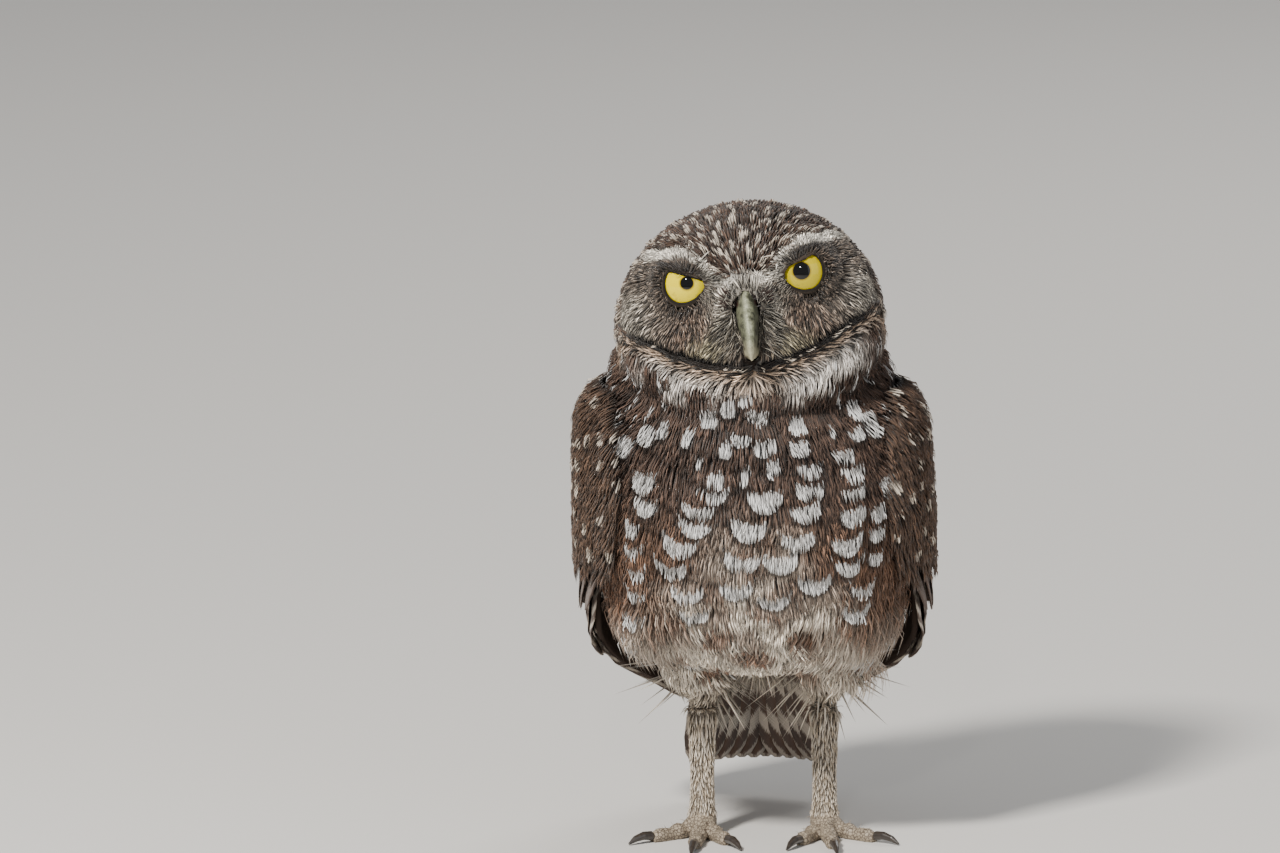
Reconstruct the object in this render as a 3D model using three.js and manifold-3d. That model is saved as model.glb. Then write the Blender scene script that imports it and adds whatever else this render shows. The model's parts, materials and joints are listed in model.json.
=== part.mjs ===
// Burrowing owl at rest on its feet, a still life-size model in millimetres.
// +Z is up, the bird faces -Y and its own left side is at +X.
import * as THREE from "three";
import { mergeVertices } from "three/addons/utils/BufferGeometryUtils.js";
import Module from "manifold-3d";

const wasm = await Module();
wasm.setup();

// Driving dimensions
const GAP = 0.3; // between solids that touch
const BODY_SHIFT = 2.5; // how far the belly sits to the bird's left of its head
const HEAD_CENTRE = [0.3, -8, 137.5];
const HEAD_HALF = { width: 35.7, front: 33, back: 31, height: 32.5 };
const HEAD_PITCH = 8; // degrees, bill up
const HEAD_ROLL = 6.2; // degrees, the bird's left side up
const EYE = { radius: 8.2, x: 14.9, y: -22.6, z: 12.6, outward: 3, opening: 5.7, lid: 1.1 };
const LEG_X = { left: 20, right: -12 };
const LEG_Y = 3;
const FLOOR_FLAT = 0.5; // how much of each toe pad the floor cuts away

const degrees = THREE.MathUtils.degToRad;
const smooth = THREE.MathUtils.smoothstep;
const mix = THREE.MathUtils.lerp;

// The smooth curve through rows of [x, a, b, ...], read at x: returns [a, b, ...]
function at(rows, x) {
  const last = rows.length - 1;
  let i = 0;
  while (i < last - 1 && x > rows[i + 1][0]) i++;
  const [from, to] = [rows[i], rows[i + 1]];
  const span = to[0] - from[0];
  const t = THREE.MathUtils.clamp((x - from[0]) / span, 0, 1);
  const slope = (j, k) => {
    const [before, after] = [rows[Math.max(j - 1, 0)], rows[Math.min(j + 1, last)]];
    return ((after[k] - before[k]) / (after[0] - before[0])) * span;
  };
  return from.slice(1).map((_, n) => {
    const k = n + 1;
    const bend = t * t * (3 - 2 * t);
    const leave = t * (1 - t) * (1 - t) * slope(i, k);
    const arrive = t * t * (1 - t) * slope(i + 1, k);
    return mix(from[k], to[k], bend) + leave - arrive;
  });
}

// A closed geometry through rings of points. A ring of one point is a pole, and an end ring of
// more points is closed flat. Both halves of a ring are split alike, so that the two faces of a
// thin curved vane never cross.
function loft(rings) {
  const points = [];
  const rows = rings.map((ring) => ring.map((p) => points.push(p) - 1));
  const faces = [];
  for (let r = 0; r + 1 < rows.length; r++) {
    const [a, b] = [rows[r], rows[r + 1]];
    const n = Math.max(a.length, b.length);
    for (let k = 0; k < n; k++) {
      const next = (k + 1) % n;
      if (a.length === 1) faces.push([a[0], b[k], b[next]]);
      else if (b.length === 1) faces.push([a[k], b[0], a[next]]);
      else if (k < n / 2) faces.push([a[k], b[k], b[next]], [a[k], b[next], a[next]]);
      else faces.push([a[k], b[k], a[next]], [a[next], b[k], b[next]]);
    }
  }
  const cap = (row, turn) => {
    for (let k = 0; k + 2 < row.length - k; k++) {
      const [a, b, c, d] = [row[k], row[k + 1], row[row.length - 2 - k], row[row.length - 1 - k]];
      faces.push(turn ? [a, d, c] : [a, c, d]);
      if (b !== c) faces.push(turn ? [a, c, b] : [a, b, c]);
    }
  };
  if (rows[0].length > 1) cap(rows[0], false);
  if (rows.at(-1).length > 1) cap(rows.at(-1), true);
  const geometry = new THREE.BufferGeometry().setFromPoints(points);
  geometry.setIndex(faces.flat());
  return geometry;
}

// A closed geometry as a solid for joining and cutting
function solid(geometry) {
  geometry.deleteAttribute("normal");
  geometry.deleteAttribute("uv");
  const merged = mergeVertices(geometry, 1e-4);
  const triVerts = new Uint32Array(merged.index.array);
  const vertProperties = merged.attributes.position.array;
  const build = () => new wasm.Manifold(new wasm.Mesh({ numProp: 3, vertProperties, triVerts }));
  const made = build();
  if (made.volume() > 0) return made;
  for (let i = 0; i < triVerts.length; i += 3) {
    [triVerts[i + 1], triVerts[i + 2]] = [triVerts[i + 2], triVerts[i + 1]];
  }
  return build();
}

const joined = (solids) => solids.reduce((all, one) => all.add(one));
const moved = (one, matrix) => one.transform(matrix.elements);
const largest = (one) =>
  one.decompose().reduce((best, piece) => (piece.volume() > best.volume() ? piece : best));

// Level rings for a limb: each row is a centre, a half width and a half depth
function limb(rows, sides) {
  return rows.map(([x, y, z, across, along]) =>
    Array.from({ length: sides }, (_, k) => {
      const turn = (2 * Math.PI * k) / sides;
      return new THREE.Vector3(x + across * Math.cos(turn), y + along * Math.sin(turn), z);
    }),
  );
}

// Plumage, horn and eye finishes
const finish = (color, roughness) => new THREE.MeshStandardMaterial({ color, roughness });
const FINISH = {
  plumage: () => finish("#6f5a48", 0.9),
  flight: () => finish("#5d4a3c", 0.85),
  belly: () => finish("#d8c9b4", 0.95),
  skin: () => finish("#8b8276", 0.7),
  horn: () => finish("#b9b79c", 0.45),
  claw: () => finish("#3a3530", 0.4),
  eye: () => finish("#e6d21c", 0.1),
};

function meshOf(name, one, material) {
  const { numProp, vertProperties, triVerts } = one.getMesh();
  const geometry = new THREE.BufferGeometry();
  const interleaved = new THREE.InterleavedBuffer(new Float32Array(vertProperties), numProp);
  const position = new THREE.BufferAttribute(new Float32Array(interleaved.count * 3), 3);
  for (let i = 0; i < interleaved.count; i++) {
    position.setXYZ(i, ...interleaved.array.subarray(i * numProp, i * numProp + 3));
  }
  geometry.setAttribute("position", position);
  geometry.setIndex(new THREE.BufferAttribute(new Uint32Array(triVerts), 1));
  geometry.computeVertexNormals();
  const mesh = new THREE.Mesh(geometry, material);
  mesh.name = name;
  return mesh;
}

// Torso

// Height, half width, breast and back, from the belly up to inside the head
const TORSO = [
  [44, 0, 2, 4],
  [46, 16, -17, 30],
  [52, 27, -30, 41],
  [62, 35, -40, 45.5],
  [78, 40, -46, 44.5],
  [94, 41, -46, 40.5],
  [108, 39.5, -42.5, 35],
  [118, 38.2, -37, 31],
  [126, 37.4, -31, 28],
  [132, 34, -25, 25.5],
  [137, 24, -17, 20],
  [141, 0, 2, 3],
].map((row, i) => [i, ...row]);
const TORSO_RINGS = 23;
const TORSO_SIDES = 36;
const TORSO_FULLNESS = 0.94; // below 1 squares the section a little
const FLESH_TOP = TORSO.at(-1)[1];

const midline = (z) => (BODY_SHIFT * (FLESH_TOP - z)) / (FLESH_TOP - TORSO[0][1]);
const full = (value, power) => Math.sign(value) * Math.abs(value) ** power;

function torsoForm(grow = 0) {
  const rings = [];
  for (let i = 0; i <= TORSO_RINGS; i++) {
    const [z, half, front, back] = at(TORSO, (i / TORSO_RINGS) * (TORSO.length - 1));
    const lift = grow * Math.cos((Math.PI * i) / TORSO_RINGS);
    const centre = (front + back) / 2;
    if (i === 0 || i === TORSO_RINGS) {
      rings.push([new THREE.Vector3(midline(z), centre, z - lift)]);
      continue;
    }
    const ring = Array.from({ length: TORSO_SIDES }, (_, k) => {
      const turn = (2 * Math.PI * k) / TORSO_SIDES;
      const x = (half + grow) * full(Math.cos(turn), TORSO_FULLNESS);
      const y = ((back - front) / 2 + grow) * full(Math.sin(turn), TORSO_FULLNESS);
      return new THREE.Vector3(midline(z) + x, centre + y, z - lift);
    });
    rings.push(ring);
  }
  return solid(loft(rings));
}

// Head, in its own frame: the origin is the middle of the skull and -Y is straight out of the face

const FACE_RINGS = 16;
const NAPE_RINGS = 7;
const HEAD_SIDES = 40;
const FACE_FLATNESS = 2.4; // 2 is an ellipsoid's face, more is flatter
const RING_SPREAD = 0.8; // below 1 the face's rings crowd towards its rim
const RELIEF_FADE = 0.8; // the radius at which the face's relief starts to fade out
// Lines on one half of the face, seen from the front, as [x, z]
const BROW = [[3, 9.5], [7.5, 12.6], [14, 19.8], [26, 21]];
const DISC_RIM = [[26, 21], [30, 12], [29.5, 4], [25.5, 0.8], [18, -3], [9, -6.4], [0, -7.6]];
const MOUTH = [[0, -9.9], [9, -8.6], [18, -5.2], [25.5, -1.2]];

// Distance in the face's plane from a point to a line of points, on either side of the face
function distanceTo(line, x, z) {
  const point = new THREE.Vector2(Math.abs(x), z);
  let best = Infinity;
  for (let i = 0; i + 1 < line.length; i++) {
    const [a, b] = [new THREE.Vector2(...line[i]), new THREE.Vector2(...line[i + 1])];
    const along = b.clone().sub(a);
    const t = THREE.MathUtils.clamp(point.clone().sub(a).dot(along) / along.lengthSq(), 0, 1);
    best = Math.min(best, point.distanceTo(a.addScaledVector(along, t)));
  }
  return best;
}

// How far each form of the face stands out or lies deep, and how wide it spreads
const MUZZLE = { out: 3.4, half: 5.5, tall: 10, height: 1 };
const EYE_DISH = { deep: 1.6, spread: 10 };
const BROW_RIDGE = { out: 4.4, spread: 4.2 };
const DISC_RIDGE = { out: 1.5, spread: 3.4 };

const swell = (distance, reach) => Math.exp(-((distance / reach) ** 2));

// How far the face stands proud of its plain flattened form
function faceRelief(x, z) {
  const eye = Math.hypot(Math.abs(x) - EYE.x, z - EYE.z);
  const bill = Math.hypot(x / MUZZLE.half, (z - MUZZLE.height) / MUZZLE.tall);
  const muzzle = MUZZLE.out * swell(bill, 1);
  const dish = EYE_DISH.deep * swell(eye, EYE_DISH.spread);
  const brow = BROW_RIDGE.out * swell(distanceTo(BROW, x, z), BROW_RIDGE.spread);
  const rim = DISC_RIDGE.out * swell(distanceTo(DISC_RIM, x, z), DISC_RIDGE.spread);
  return muzzle - dish + Math.max(brow, rim);
}

// The face's plain flattened form: how far it stands out at a radius between 0 and 1
const faceDepth = (radius) =>
  -HEAD_HALF.front * Math.max(0, 1 - radius ** FACE_FLATNESS) ** (1 / FACE_FLATNESS);

function headForm() {
  const rings = [[new THREE.Vector3(0, faceDepth(0) - faceRelief(0, 0), 0)]];
  for (let i = 1; i < FACE_RINGS + NAPE_RINGS; i++) {
    const facing = i <= FACE_RINGS;
    const radius = facing
      ? (i / FACE_RINGS) ** RING_SPREAD
      : Math.cos(((i - FACE_RINGS) / NAPE_RINGS) * (Math.PI / 2));
    const back = HEAD_HALF.back * Math.sqrt(1 - Math.min(radius, 1) ** 2);
    rings.push(
      Array.from({ length: HEAD_SIDES }, (_, k) => {
        const turn = (2 * Math.PI * k) / HEAD_SIDES;
        const x = HEAD_HALF.width * radius * Math.cos(turn);
        const z = HEAD_HALF.height * radius * Math.sin(turn);
        const fade = 1 - smooth(radius, RELIEF_FADE, 1);
        return new THREE.Vector3(x, facing ? faceDepth(radius) - fade * faceRelief(x, z) : back, z);
      }),
    );
  }
  rings.push([new THREE.Vector3(0, HEAD_HALF.back, 0)]);
  return solid(loft(rings));
}

const headFrame = new THREE.Matrix4()
  .makeTranslation(...HEAD_CENTRE)
  .multiply(new THREE.Matrix4().makeRotationY(-degrees(HEAD_ROLL)))
  .multiply(new THREE.Matrix4().makeRotationX(-degrees(HEAD_PITCH)));

// Eyes and lids

const EYE_SIDES = 20;
const EYE_ROWS = 11;
// The upper edge of the opening: its height over the pupil, and its slope down to the bill
const LID_CHORD = { height: 2.1, slope: Math.tan(degrees(21)) };
const LID_ROOT = degrees(80); // how far round the eyeball the lids are rooted

// The eyeball's centre and its axes: out of the eye, away from the bill, and up
function eyeAxes(side) {
  const turn = degrees(EYE.outward);
  return {
    centre: new THREE.Vector3(side * EYE.x, EYE.y, EYE.z),
    out: new THREE.Vector3(side * Math.sin(turn), -Math.cos(turn), 0),
    away: new THREE.Vector3(side * Math.cos(turn), Math.sin(turn), 0),
    up: new THREE.Vector3(0, 0, 1),
  };
}

function eyeball(side, grow = 0) {
  const ball = new THREE.SphereGeometry(EYE.radius + grow, EYE_SIDES, EYE_ROWS);
  ball.rotateX(-Math.PI / 2);
  const { centre } = eyeAxes(side);
  ball.translate(centre.x, centre.y, centre.z);
  return solid(ball);
}

// Radius of the opening in one direction round the eye: a circle, cut by the upper lid's straight edge
function openingRadius(turn) {
  const rise = Math.sin(turn) - LID_CHORD.slope * Math.cos(turn);
  const chord = rise > 0 ? LID_CHORD.height / rise : Infinity;
  return Math.min(EYE.opening, chord);
}

function lids(side) {
  const { centre, out, away, up } = eyeAxes(side);
  const onBall = (turn, angle, radius) =>
    centre
      .clone()
      .addScaledVector(out, radius * Math.cos(angle))
      .addScaledVector(away, radius * Math.sin(angle) * Math.cos(turn))
      .addScaledVector(up, radius * Math.sin(angle) * Math.sin(turn));
  const rings = Array.from({ length: EYE_SIDES }, (_, k) => {
    const turn = (2 * Math.PI * k) / EYE_SIDES;
    const edge = Math.asin(openingRadius(turn) / EYE.radius);
    const [inside, outside] = [EYE.radius + GAP, EYE.radius + GAP + EYE.lid];
    const middle = (edge + LID_ROOT) / 2;
    return [
      onBall(turn, edge, inside),
      onBall(turn, middle, inside),
      onBall(turn, LID_ROOT, inside),
      onBall(turn, LID_ROOT, outside),
      onBall(turn, middle, outside),
      onBall(turn, edge, outside),
    ];
  });
  return solid(band(rings));
}

// A closed geometry through rings that come round to the first one again
function band(rings) {
  const n = rings[0].length;
  const index = [];
  rings.forEach((_, r) => {
    const [a, b] = [r * n, ((r + 1) % rings.length) * n];
    for (let k = 0; k < n; k++) {
      const next = (k + 1) % n;
      const split = k < n / 2;
      if (split) index.push(a + k, b + k, b + next, a + k, b + next, a + next);
      else index.push(a + k, b + k, a + next, a + next, b + k, b + next);
    }
  });
  const geometry = new THREE.BufferGeometry().setFromPoints(rings.flat());
  geometry.setIndex(index);
  return geometry;
}

// Bill

// Height, culmen, back and half width, from the tip up to the brow
const UPPER_BILL = [
  [-8.5, -41.4, -40.7, 0.3],
  [-6.5, -42.5, -37.6, 1.6],
  [-3.5, -42.9, -32.5, 2.8],
  [0.5, -42.2, -29, 3.3],
  [5, -39.8, -28.5, 3.2],
  [8.5, -36.6, -28.5, 2.5],
  [10.5, -34.2, -29, 1.3],
];
const LOWER_BILL = [
  [-8.2, -35.2, -29.5, 1],
  [-7.2, -36.8, -28, 2],
  [-5.4, -36.2, -27, 2.5],
  [-3.8, -33, -27, 2.5],
];
const BILL_SIDES = 10;
const BILL_STEPS = { upper: 10, lower: 4 };
const BILL_FLANK = { narrow: 0.92, full: 0.4 }; // the ridge side is narrower, the back is squarer
const NOSTRIL = { radius: 0.95, x: 3.1, y: -37.2, z: 6.4 };
const GROOVE = { high: 1, deep: 1.8, out: 3 }; // the line of the mouth

function billForm(rows, steps, grow = 0) {
  const [low, high] = [rows[0][0], rows.at(-1)[0]];
  const rings = Array.from({ length: steps + 1 }, (_, i) => {
    const z = mix(low, high, i / steps);
    const [front, back, half] = at(rows, z);
    const level = z + grow * mix(-1, 1, i / steps);
    return Array.from({ length: BILL_SIDES }, (_, k) => {
      const turn = (2 * Math.PI * (k + 0.5)) / BILL_SIDES;
      const ridge = Math.sin(turn) < 0;
      const side = full(Math.cos(turn), ridge ? 1 : 1 - BILL_FLANK.full / 10);
      const x = (half + grow) * side * (ridge ? BILL_FLANK.narrow : 1);
      const y = (front + back) / 2 + ((back - front) / 2 + grow) * Math.sin(turn);
      return new THREE.Vector3(x, y, level);
    });
  });
  return solid(loft(rings));
}

function nostrils() {
  return joined(
    [-1, 1].map((side) => {
      const pit = new THREE.SphereGeometry(NOSTRIL.radius, 8, 6);
      pit.translate(side * NOSTRIL.x, NOSTRIL.y, NOSTRIL.z);
      return solid(pit);
    }),
  );
}

// The line of the mouth, a groove under the lower edge of the facial disc
function mouthGroove() {
  const line = [...MOUTH.slice(1).reverse().map(([x, z]) => [-x, z]), ...MOUTH];
  const rings = line.map(([x, z]) => {
    const y = faceDepth(Math.hypot(x / HEAD_HALF.width, z / HEAD_HALF.height)) - faceRelief(x, z);
    return [
      new THREE.Vector3(x, y - GROOVE.out, z + GROOVE.high),
      new THREE.Vector3(x, y + GROOVE.deep, z + GROOVE.high / 2),
      new THREE.Vector3(x, y + GROOVE.deep, z - GROOVE.high / 2),
      new THREE.Vector3(x, y - GROOVE.out, z - GROOVE.high),
    ];
  });
  return solid(loft(rings));
}

// Wings, laid on a guide surface: height, half width, widest place and back line of the folded wings
const GUIDE = [
  [12, 12, 60, 70.5],
  [26, 26, 45, 68],
  [38, 38, 30, 64.5],
  [50, 44.5, 18, 59.5],
  [64, 46.5, 9, 54],
  [80, 47, 3, 48.5],
  [96, 46.6, -1, 44],
  [110, 45.8, -3, 39],
  [120, 43, -4, 33.5],
  [129, 37, -5, 26],
];
// Height, the core's front edge and back edge as angles round from the side
const WING_EDGES = [
  [16, 48, 80],
  [30, 30, 84],
  [44, 4, 86],
  [60, -16, 84],
  [78, -26, 76],
  [96, -30, 64],
  [110, -30, 52],
  [120, -24, 40],
  [126, -12, 26],
];
const WING_RINGS = 11;
const WING_SPAN = 7; // points across the core
const WING_DEPTH = 4.2;
const WING_CORE = [24, 121]; // heights of the core's lower and upper ends
const CORE_TAPER = { end: 0.3, lower: 0.26, upper: 0.9 }; // thinness at the ends, and where it starts
const CORE_INSET = 2.4; // from the guide surface, so that the feathers' ends reach it

const VANE = { thickness: 0.55, overlap: 1.3, tilt: 0.85, sunk: 1.4, rise: 0.8 };
// How far along a feather, and how wide it is there
const VANE_SHAPE = [[0, 0.6], [0.3, 0.92], [0.65, 1], [0.88, 0.82], [1, 0.34]];
// Heights of the roots at the wing's front and back edges, then of the tips, and how far the tips lift
const TIERS = [
  { root: [117, 114], tip: [102, 98], count: 6, lift: 2.4 },
  { root: [106.5, 103], tip: [86, 82], count: 7, lift: 2.4 },
  { root: [91, 88], tip: [66, 61], count: 7, lift: 2.4 },
  { root: [71, 68], tip: [44, 35], count: 7, lift: 2.2 },
  { root: [49, 42], tip: [26, 12.5], count: 6, lift: 1.3 },
];

function guidePoint(side, z, angle, offset) {
  const [half, widest, dorsal] = at(GUIDE, z);
  const turn = degrees(angle);
  const reach = dorsal - widest;
  const nx = Math.cos(turn) / half;
  const ny = Math.sin(turn) / reach;
  const size = Math.hypot(nx, ny);
  const x = half * Math.cos(turn) + (offset * nx) / size;
  const y = widest + reach * Math.sin(turn) + (offset * ny) / size;
  return new THREE.Vector3(midline(z) + side * x, y, z);
}

// A point on the wing: height, how far across from its front edge (0) to its back edge (1), and
// lift off the core
function wingPoint(side, z, across, lift) {
  const [front, back] = at(WING_EDGES, z);
  return guidePoint(side, z, mix(front, back, across), lift - CORE_INSET);
}

function wingCore(side) {
  const rings = Array.from({ length: WING_RINGS + 1 }, (_, i) => {
    const share = i / WING_RINGS;
    const z = mix(...WING_CORE, share);
    const body = smooth(share, 0, CORE_TAPER.lower) * (1 - smooth(share, CORE_TAPER.upper, 1));
    const thin = mix(CORE_TAPER.end, 1, body);
    const row = Array.from({ length: WING_SPAN }, (_, k) => k / (WING_SPAN - 1));
    const depth = (across) => -WING_DEPTH * thin * (0.5 + 0.5 * Math.sin(Math.PI * across));
    const outer = row.map((across) => wingPoint(side, z, across, 0));
    const inner = row.map((across) => wingPoint(side, z, across, depth(across)));
    return [...outer, ...inner.reverse()];
  });
  return solid(loft(rings));
}

// One closed feather from rows of its two faces' points
const vane = (rows) => solid(loft(rows.map(({ outer, inner }) => [...outer, ...inner.reverse()])));

// A wing feather lying down the wing. Its front edge lies over the feather before it
function wingVane(side, tier, index) {
  const pitch = 1 / tier.count;
  const across = (index + 0.5) * pitch;
  const root = mix(...tier.root, across);
  const tip = mix(...tier.tip, across);
  const rows = VANE_SHAPE.map(([along, width]) => {
    const z = mix(root, tip, along);
    const lift = mix(-VANE.sunk, tier.lift, along ** VANE.rise);
    const half = (pitch * VANE.overlap * width) / 2;
    const face = (offset) =>
      [-1, 1].map((edge) =>
        wingPoint(side, z, across + edge * half, lift + offset - edge * VANE.tilt * width),
      );
    return { outer: face(VANE.thickness / 2), inner: face(-VANE.thickness / 2) };
  });
  return vane(rows);
}

function wing(side) {
  const feathers = TIERS.flatMap((tier) =>
    Array.from({ length: tier.count }, (_, index) => wingVane(side, tier, index)),
  );
  return largest(joined([wingCore(side), ...feathers]).subtract(torsoForm(GAP)));
}

// Tail: a short root under the rump, and the closed fan of feathers, the middle one on top
const TAIL = { top: [40, 54], end: [62.5, 9], feathers: 5, pitch: 3.1, drop: 0.95, edge: 3.6, gap: 0.4 };
const TAIL_ROUND = { arch: 0.008, shorter: 0.012 }; // across the tail, and each feather to the next
// How far down a feather, how far the fan has opened there, and how full the feather is
const TAIL_SHAPE = [[0, 0.62, 1], [0.4, 0.8, 1], [0.8, 0.95, 1], [0.94, 1, 0.88], [1, 1, 0.45]];

// A point on the tail: how far down it, how far out to the side, and how deep under its upper face
function tailPoint(along, out, depth) {
  const top = new THREE.Vector2(...TAIL.top);
  const run = new THREE.Vector2(...TAIL.end).sub(top);
  const up = new THREE.Vector2(-run.y, run.x).normalize();
  const place = top.addScaledVector(run, along).addScaledVector(up, -depth - TAIL_ROUND.arch * out * out);
  return new THREE.Vector3(midline(place.y) + out, place.x, place.y);
}

// One tail feather: its number out from the middle one, and its side
function tailVane(number, side) {
  const length = 1 - TAIL_ROUND.shorter * number;
  const rows = TAIL_SHAPE.map(([along, fan, tip]) => {
    const outer = (number * TAIL.pitch + TAIL.edge) * fan;
    const inner = number ? TAIL.gap : -outer;
    const centre = (outer + inner) / 2;
    const face = (offset) =>
      [inner, outer].map((out) =>
        tailPoint(along * length, side * mix(centre, out, tip), number * TAIL.drop + offset),
      );
    return { outer: face(0), inner: face(VANE.thickness) };
  });
  return vane(rows);
}

// Height, distance behind the middle, half width and half depth of the tail's fleshy root
const TAIL_ROOT = [[62, 33, 13, 9], [54, 38, 13, 7], [46, 42, 11.5, 4.6], [38, 45.5, 8, 2]];
const TAIL_ROOT_SIDES = 16;

function tail() {
  const root = TAIL_ROOT.map(([z, y, across, along]) => [midline(z), y, z, across, along]);
  const feathers = [tailVane(0, 1)];
  for (let number = 1; number <= TAIL.feathers; number++) {
    feathers.push(tailVane(number, 1), tailVane(number, -1));
  }
  return largest(joined([solid(loft(limb(root, TAIL_ROOT_SIDES))), ...feathers]).subtract(torsoForm(GAP)));
}

// Legs

const ANKLE_HEIGHT = 33;
const FOOT_HEIGHT = 7.5;
// Height, distance behind the ball of the foot, half width and half depth, and how far from the
// middle of the body as a share of the foot's distance
const THIGH = [
  [ANKLE_HEIGHT, 6, 4, 4.4, 1],
  [38, 4.5, 6, 7, 1],
  [44, 2, 9.5, 11, 1],
  [50, -1, 12, 14, 0.97],
  [57, -2, 12, 15, 0.94],
];
const TARSUS = [
  [ANKLE_HEIGHT - GAP, 6, 3.3, 3.6, 1],
  [26, 4.5, 2.7, 3, 1],
  [16, 2.2, 2.5, 2.7, 1],
  [FOOT_HEIGHT + GAP, 0, 2.9, 3.2, 1],
];
const BALL_OF_FOOT = [
  [1.2, -0.5, 3.4, 3.6, 1],
  [4, -0.3, 3.8, 4.2, 1],
  [FOOT_HEIGHT, 0, 2.9, 3.2, 1],
];
const LEG_SIDES = { thigh: 16, tarsus: 12 };

// Part of a leg that stands at x
function legPart(table, x, sides) {
  const rows = table.map(([z, behind, across, along, share]) => [
    x * share,
    LEG_Y + behind,
    z,
    across,
    along,
  ]);
  return solid(loft(limb(rows, sides)));
}

const thigh = (x) => largest(legPart(THIGH, x, LEG_SIDES.thigh).subtract(torsoForm(GAP)));
const tarsus = (x) => legPart(TARSUS, x, LEG_SIDES.tarsus);

// Each toe: direction from straight ahead in degrees, outward, its length to the claw's root, and
// the claw's length
const TOES = [
  { name: "inner", turn: -24, length: 16, claw: 8.5 },
  { name: "middle", turn: 6, length: 20, claw: 9 },
  { name: "outer", turn: 52, length: 16.5, claw: 7.5 },
  { name: "hind", turn: 172, length: 9.5, claw: 7.5 },
];
const TOE = { radius: 2.3, root: 1.05, tip: 0.72, sides: 8, steps: 8 }; // root and tip are shares
const PADS = { count: 3, depth: 0.28 };
const INSTEP = { rise: 2.6, length: 0.45 }; // how far a toe's root rises to the foot
// Share of the claw's length, height, radius, and how far the section leans forward
const CLAW = [[0, 1.75, 1.15, 0], [0.35, 2.05, 1, 0.2], [0.7, 1.55, 0.7, 0.5], [1, 0.45, 0.18, 0.8]];
const UNDER_FLOOR = { side: 120, deep: 20 }; // a block that takes off what is under the floor

// A toe's own frame: its start on the ball of the foot, forward along the toe, and outward from the body
function toeFrame(x, side, toe) {
  const turn = degrees(toe.turn);
  return {
    start: new THREE.Vector3(x, LEG_Y - 0.5, 0),
    along: new THREE.Vector3(side * Math.sin(turn), -Math.cos(turn), 0),
    across: new THREE.Vector3(Math.cos(turn), side * Math.sin(turn), 0),
  };
}

// Rings round a line in a toe's frame: distance along, height and radius
function toeRings({ start, along, across }, rows, sides) {
  return rows.map(([distance, height, radius, lean = 0]) =>
    Array.from({ length: sides }, (_, k) => {
      const turn = (2 * Math.PI * k) / sides;
      return start
        .clone()
        .addScaledVector(along, distance + lean * radius * Math.sin(turn))
        .addScaledVector(across, radius * Math.cos(turn))
        .setZ(height + radius * Math.sin(turn));
    }),
  );
}

function toeForm(x, side, toe) {
  const rows = Array.from({ length: TOE.steps + 1 }, (_, i) => {
    const t = i / TOE.steps;
    const pad = PADS.depth * Math.cos(2 * Math.PI * PADS.count * t);
    const radius = TOE.radius * mix(TOE.root, TOE.tip, t) - pad;
    const height = radius - FLOOR_FLAT + INSTEP.rise * (1 - smooth(t, 0, INSTEP.length));
    return [toe.length * t, height, radius];
  });
  return solid(loft(toeRings(toeFrame(x, side, toe), rows, TOE.sides)));
}

function foot(x, side) {
  const ball = legPart(BALL_OF_FOOT, x, LEG_SIDES.tarsus);
  const forms = [ball, ...TOES.map((toe) => toeForm(x, side, toe))];
  const { side: across, deep } = UNDER_FLOOR;
  const underFloor = new THREE.BoxGeometry(across, across, deep);
  underFloor.translate(0, 0, -deep / 2);
  return largest(joined(forms).subtract(solid(underFloor)));
}

function claw(x, side, toe) {
  const start = toe.length + GAP;
  const rows = CLAW.map(([share, ...rest]) => [start + toe.claw * share, ...rest]);
  return solid(loft(toeRings(toeFrame(x, side, toe), rows, TOE.sides)));
}

// Flesh: head and torso as one form, parted by two thin cuts into torso, neck and head

const NECK_CUTS = [121, 128.5]; // heights at the middle of the neck
const NECK_TILT = 8.5; // degrees, up at the back
const SLAB_SIDE = 140;

function neckSlab(height) {
  const slab = new THREE.BoxGeometry(SLAB_SIDE, SLAB_SIDE, GAP);
  slab.rotateX(degrees(NECK_TILT));
  slab.translate(0, HEAD_CENTRE[1], height);
  return solid(slab);
}

function centreHeight(one) {
  const { min, max } = one.boundingBox();
  return (min[2] + max[2]) / 2;
}

const headSolid = headForm();
const whole = torsoForm().add(moved(headSolid, headFrame));
const parted = NECK_CUTS.reduce((rest, cut) => rest.subtract(neckSlab(cut)), whole).decompose();
const [torso, neck, headPart] = parted
  .sort((a, b) => b.volume() - a.volume())
  .slice(0, NECK_CUTS.length + 1)
  .sort((a, b) => centreHeight(a) - centreHeight(b));

// Head details in the head's own frame
const upperForm = (grow) => billForm(UPPER_BILL, BILL_STEPS.upper, grow);
const lowerForm = (grow) => billForm(LOWER_BILL, BILL_STEPS.lower, grow);
const upperBill = upperForm(0).subtract(nostrils());
const lowerBill = lowerForm(0).subtract(upperForm(GAP));
const sockets = joined([eyeball(-1, GAP), eyeball(1, GAP), upperForm(GAP), lowerForm(GAP)]);
const head = largest(
  moved(headPart, headFrame.clone().invert())
    .subtract(mouthGroove())
    .add(lids(-1))
    .add(lids(1))
    .subtract(sockets),
);

const headGroup = new THREE.Group();
headGroup.applyMatrix4(headFrame);
headGroup.add(
  meshOf("head", head, FINISH.plumage()),
  meshOf("bill_upper", upperBill, FINISH.horn()),
  meshOf("bill_lower", lowerBill, FINISH.horn()),
  meshOf("eye_left", eyeball(1), FINISH.eye()),
  meshOf("eye_right", eyeball(-1), FINISH.eye()),
);

const owl = new THREE.Group();
owl.add(headGroup, meshOf("neck", neck, FINISH.plumage()), meshOf("tail", tail(), FINISH.flight()));

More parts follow.
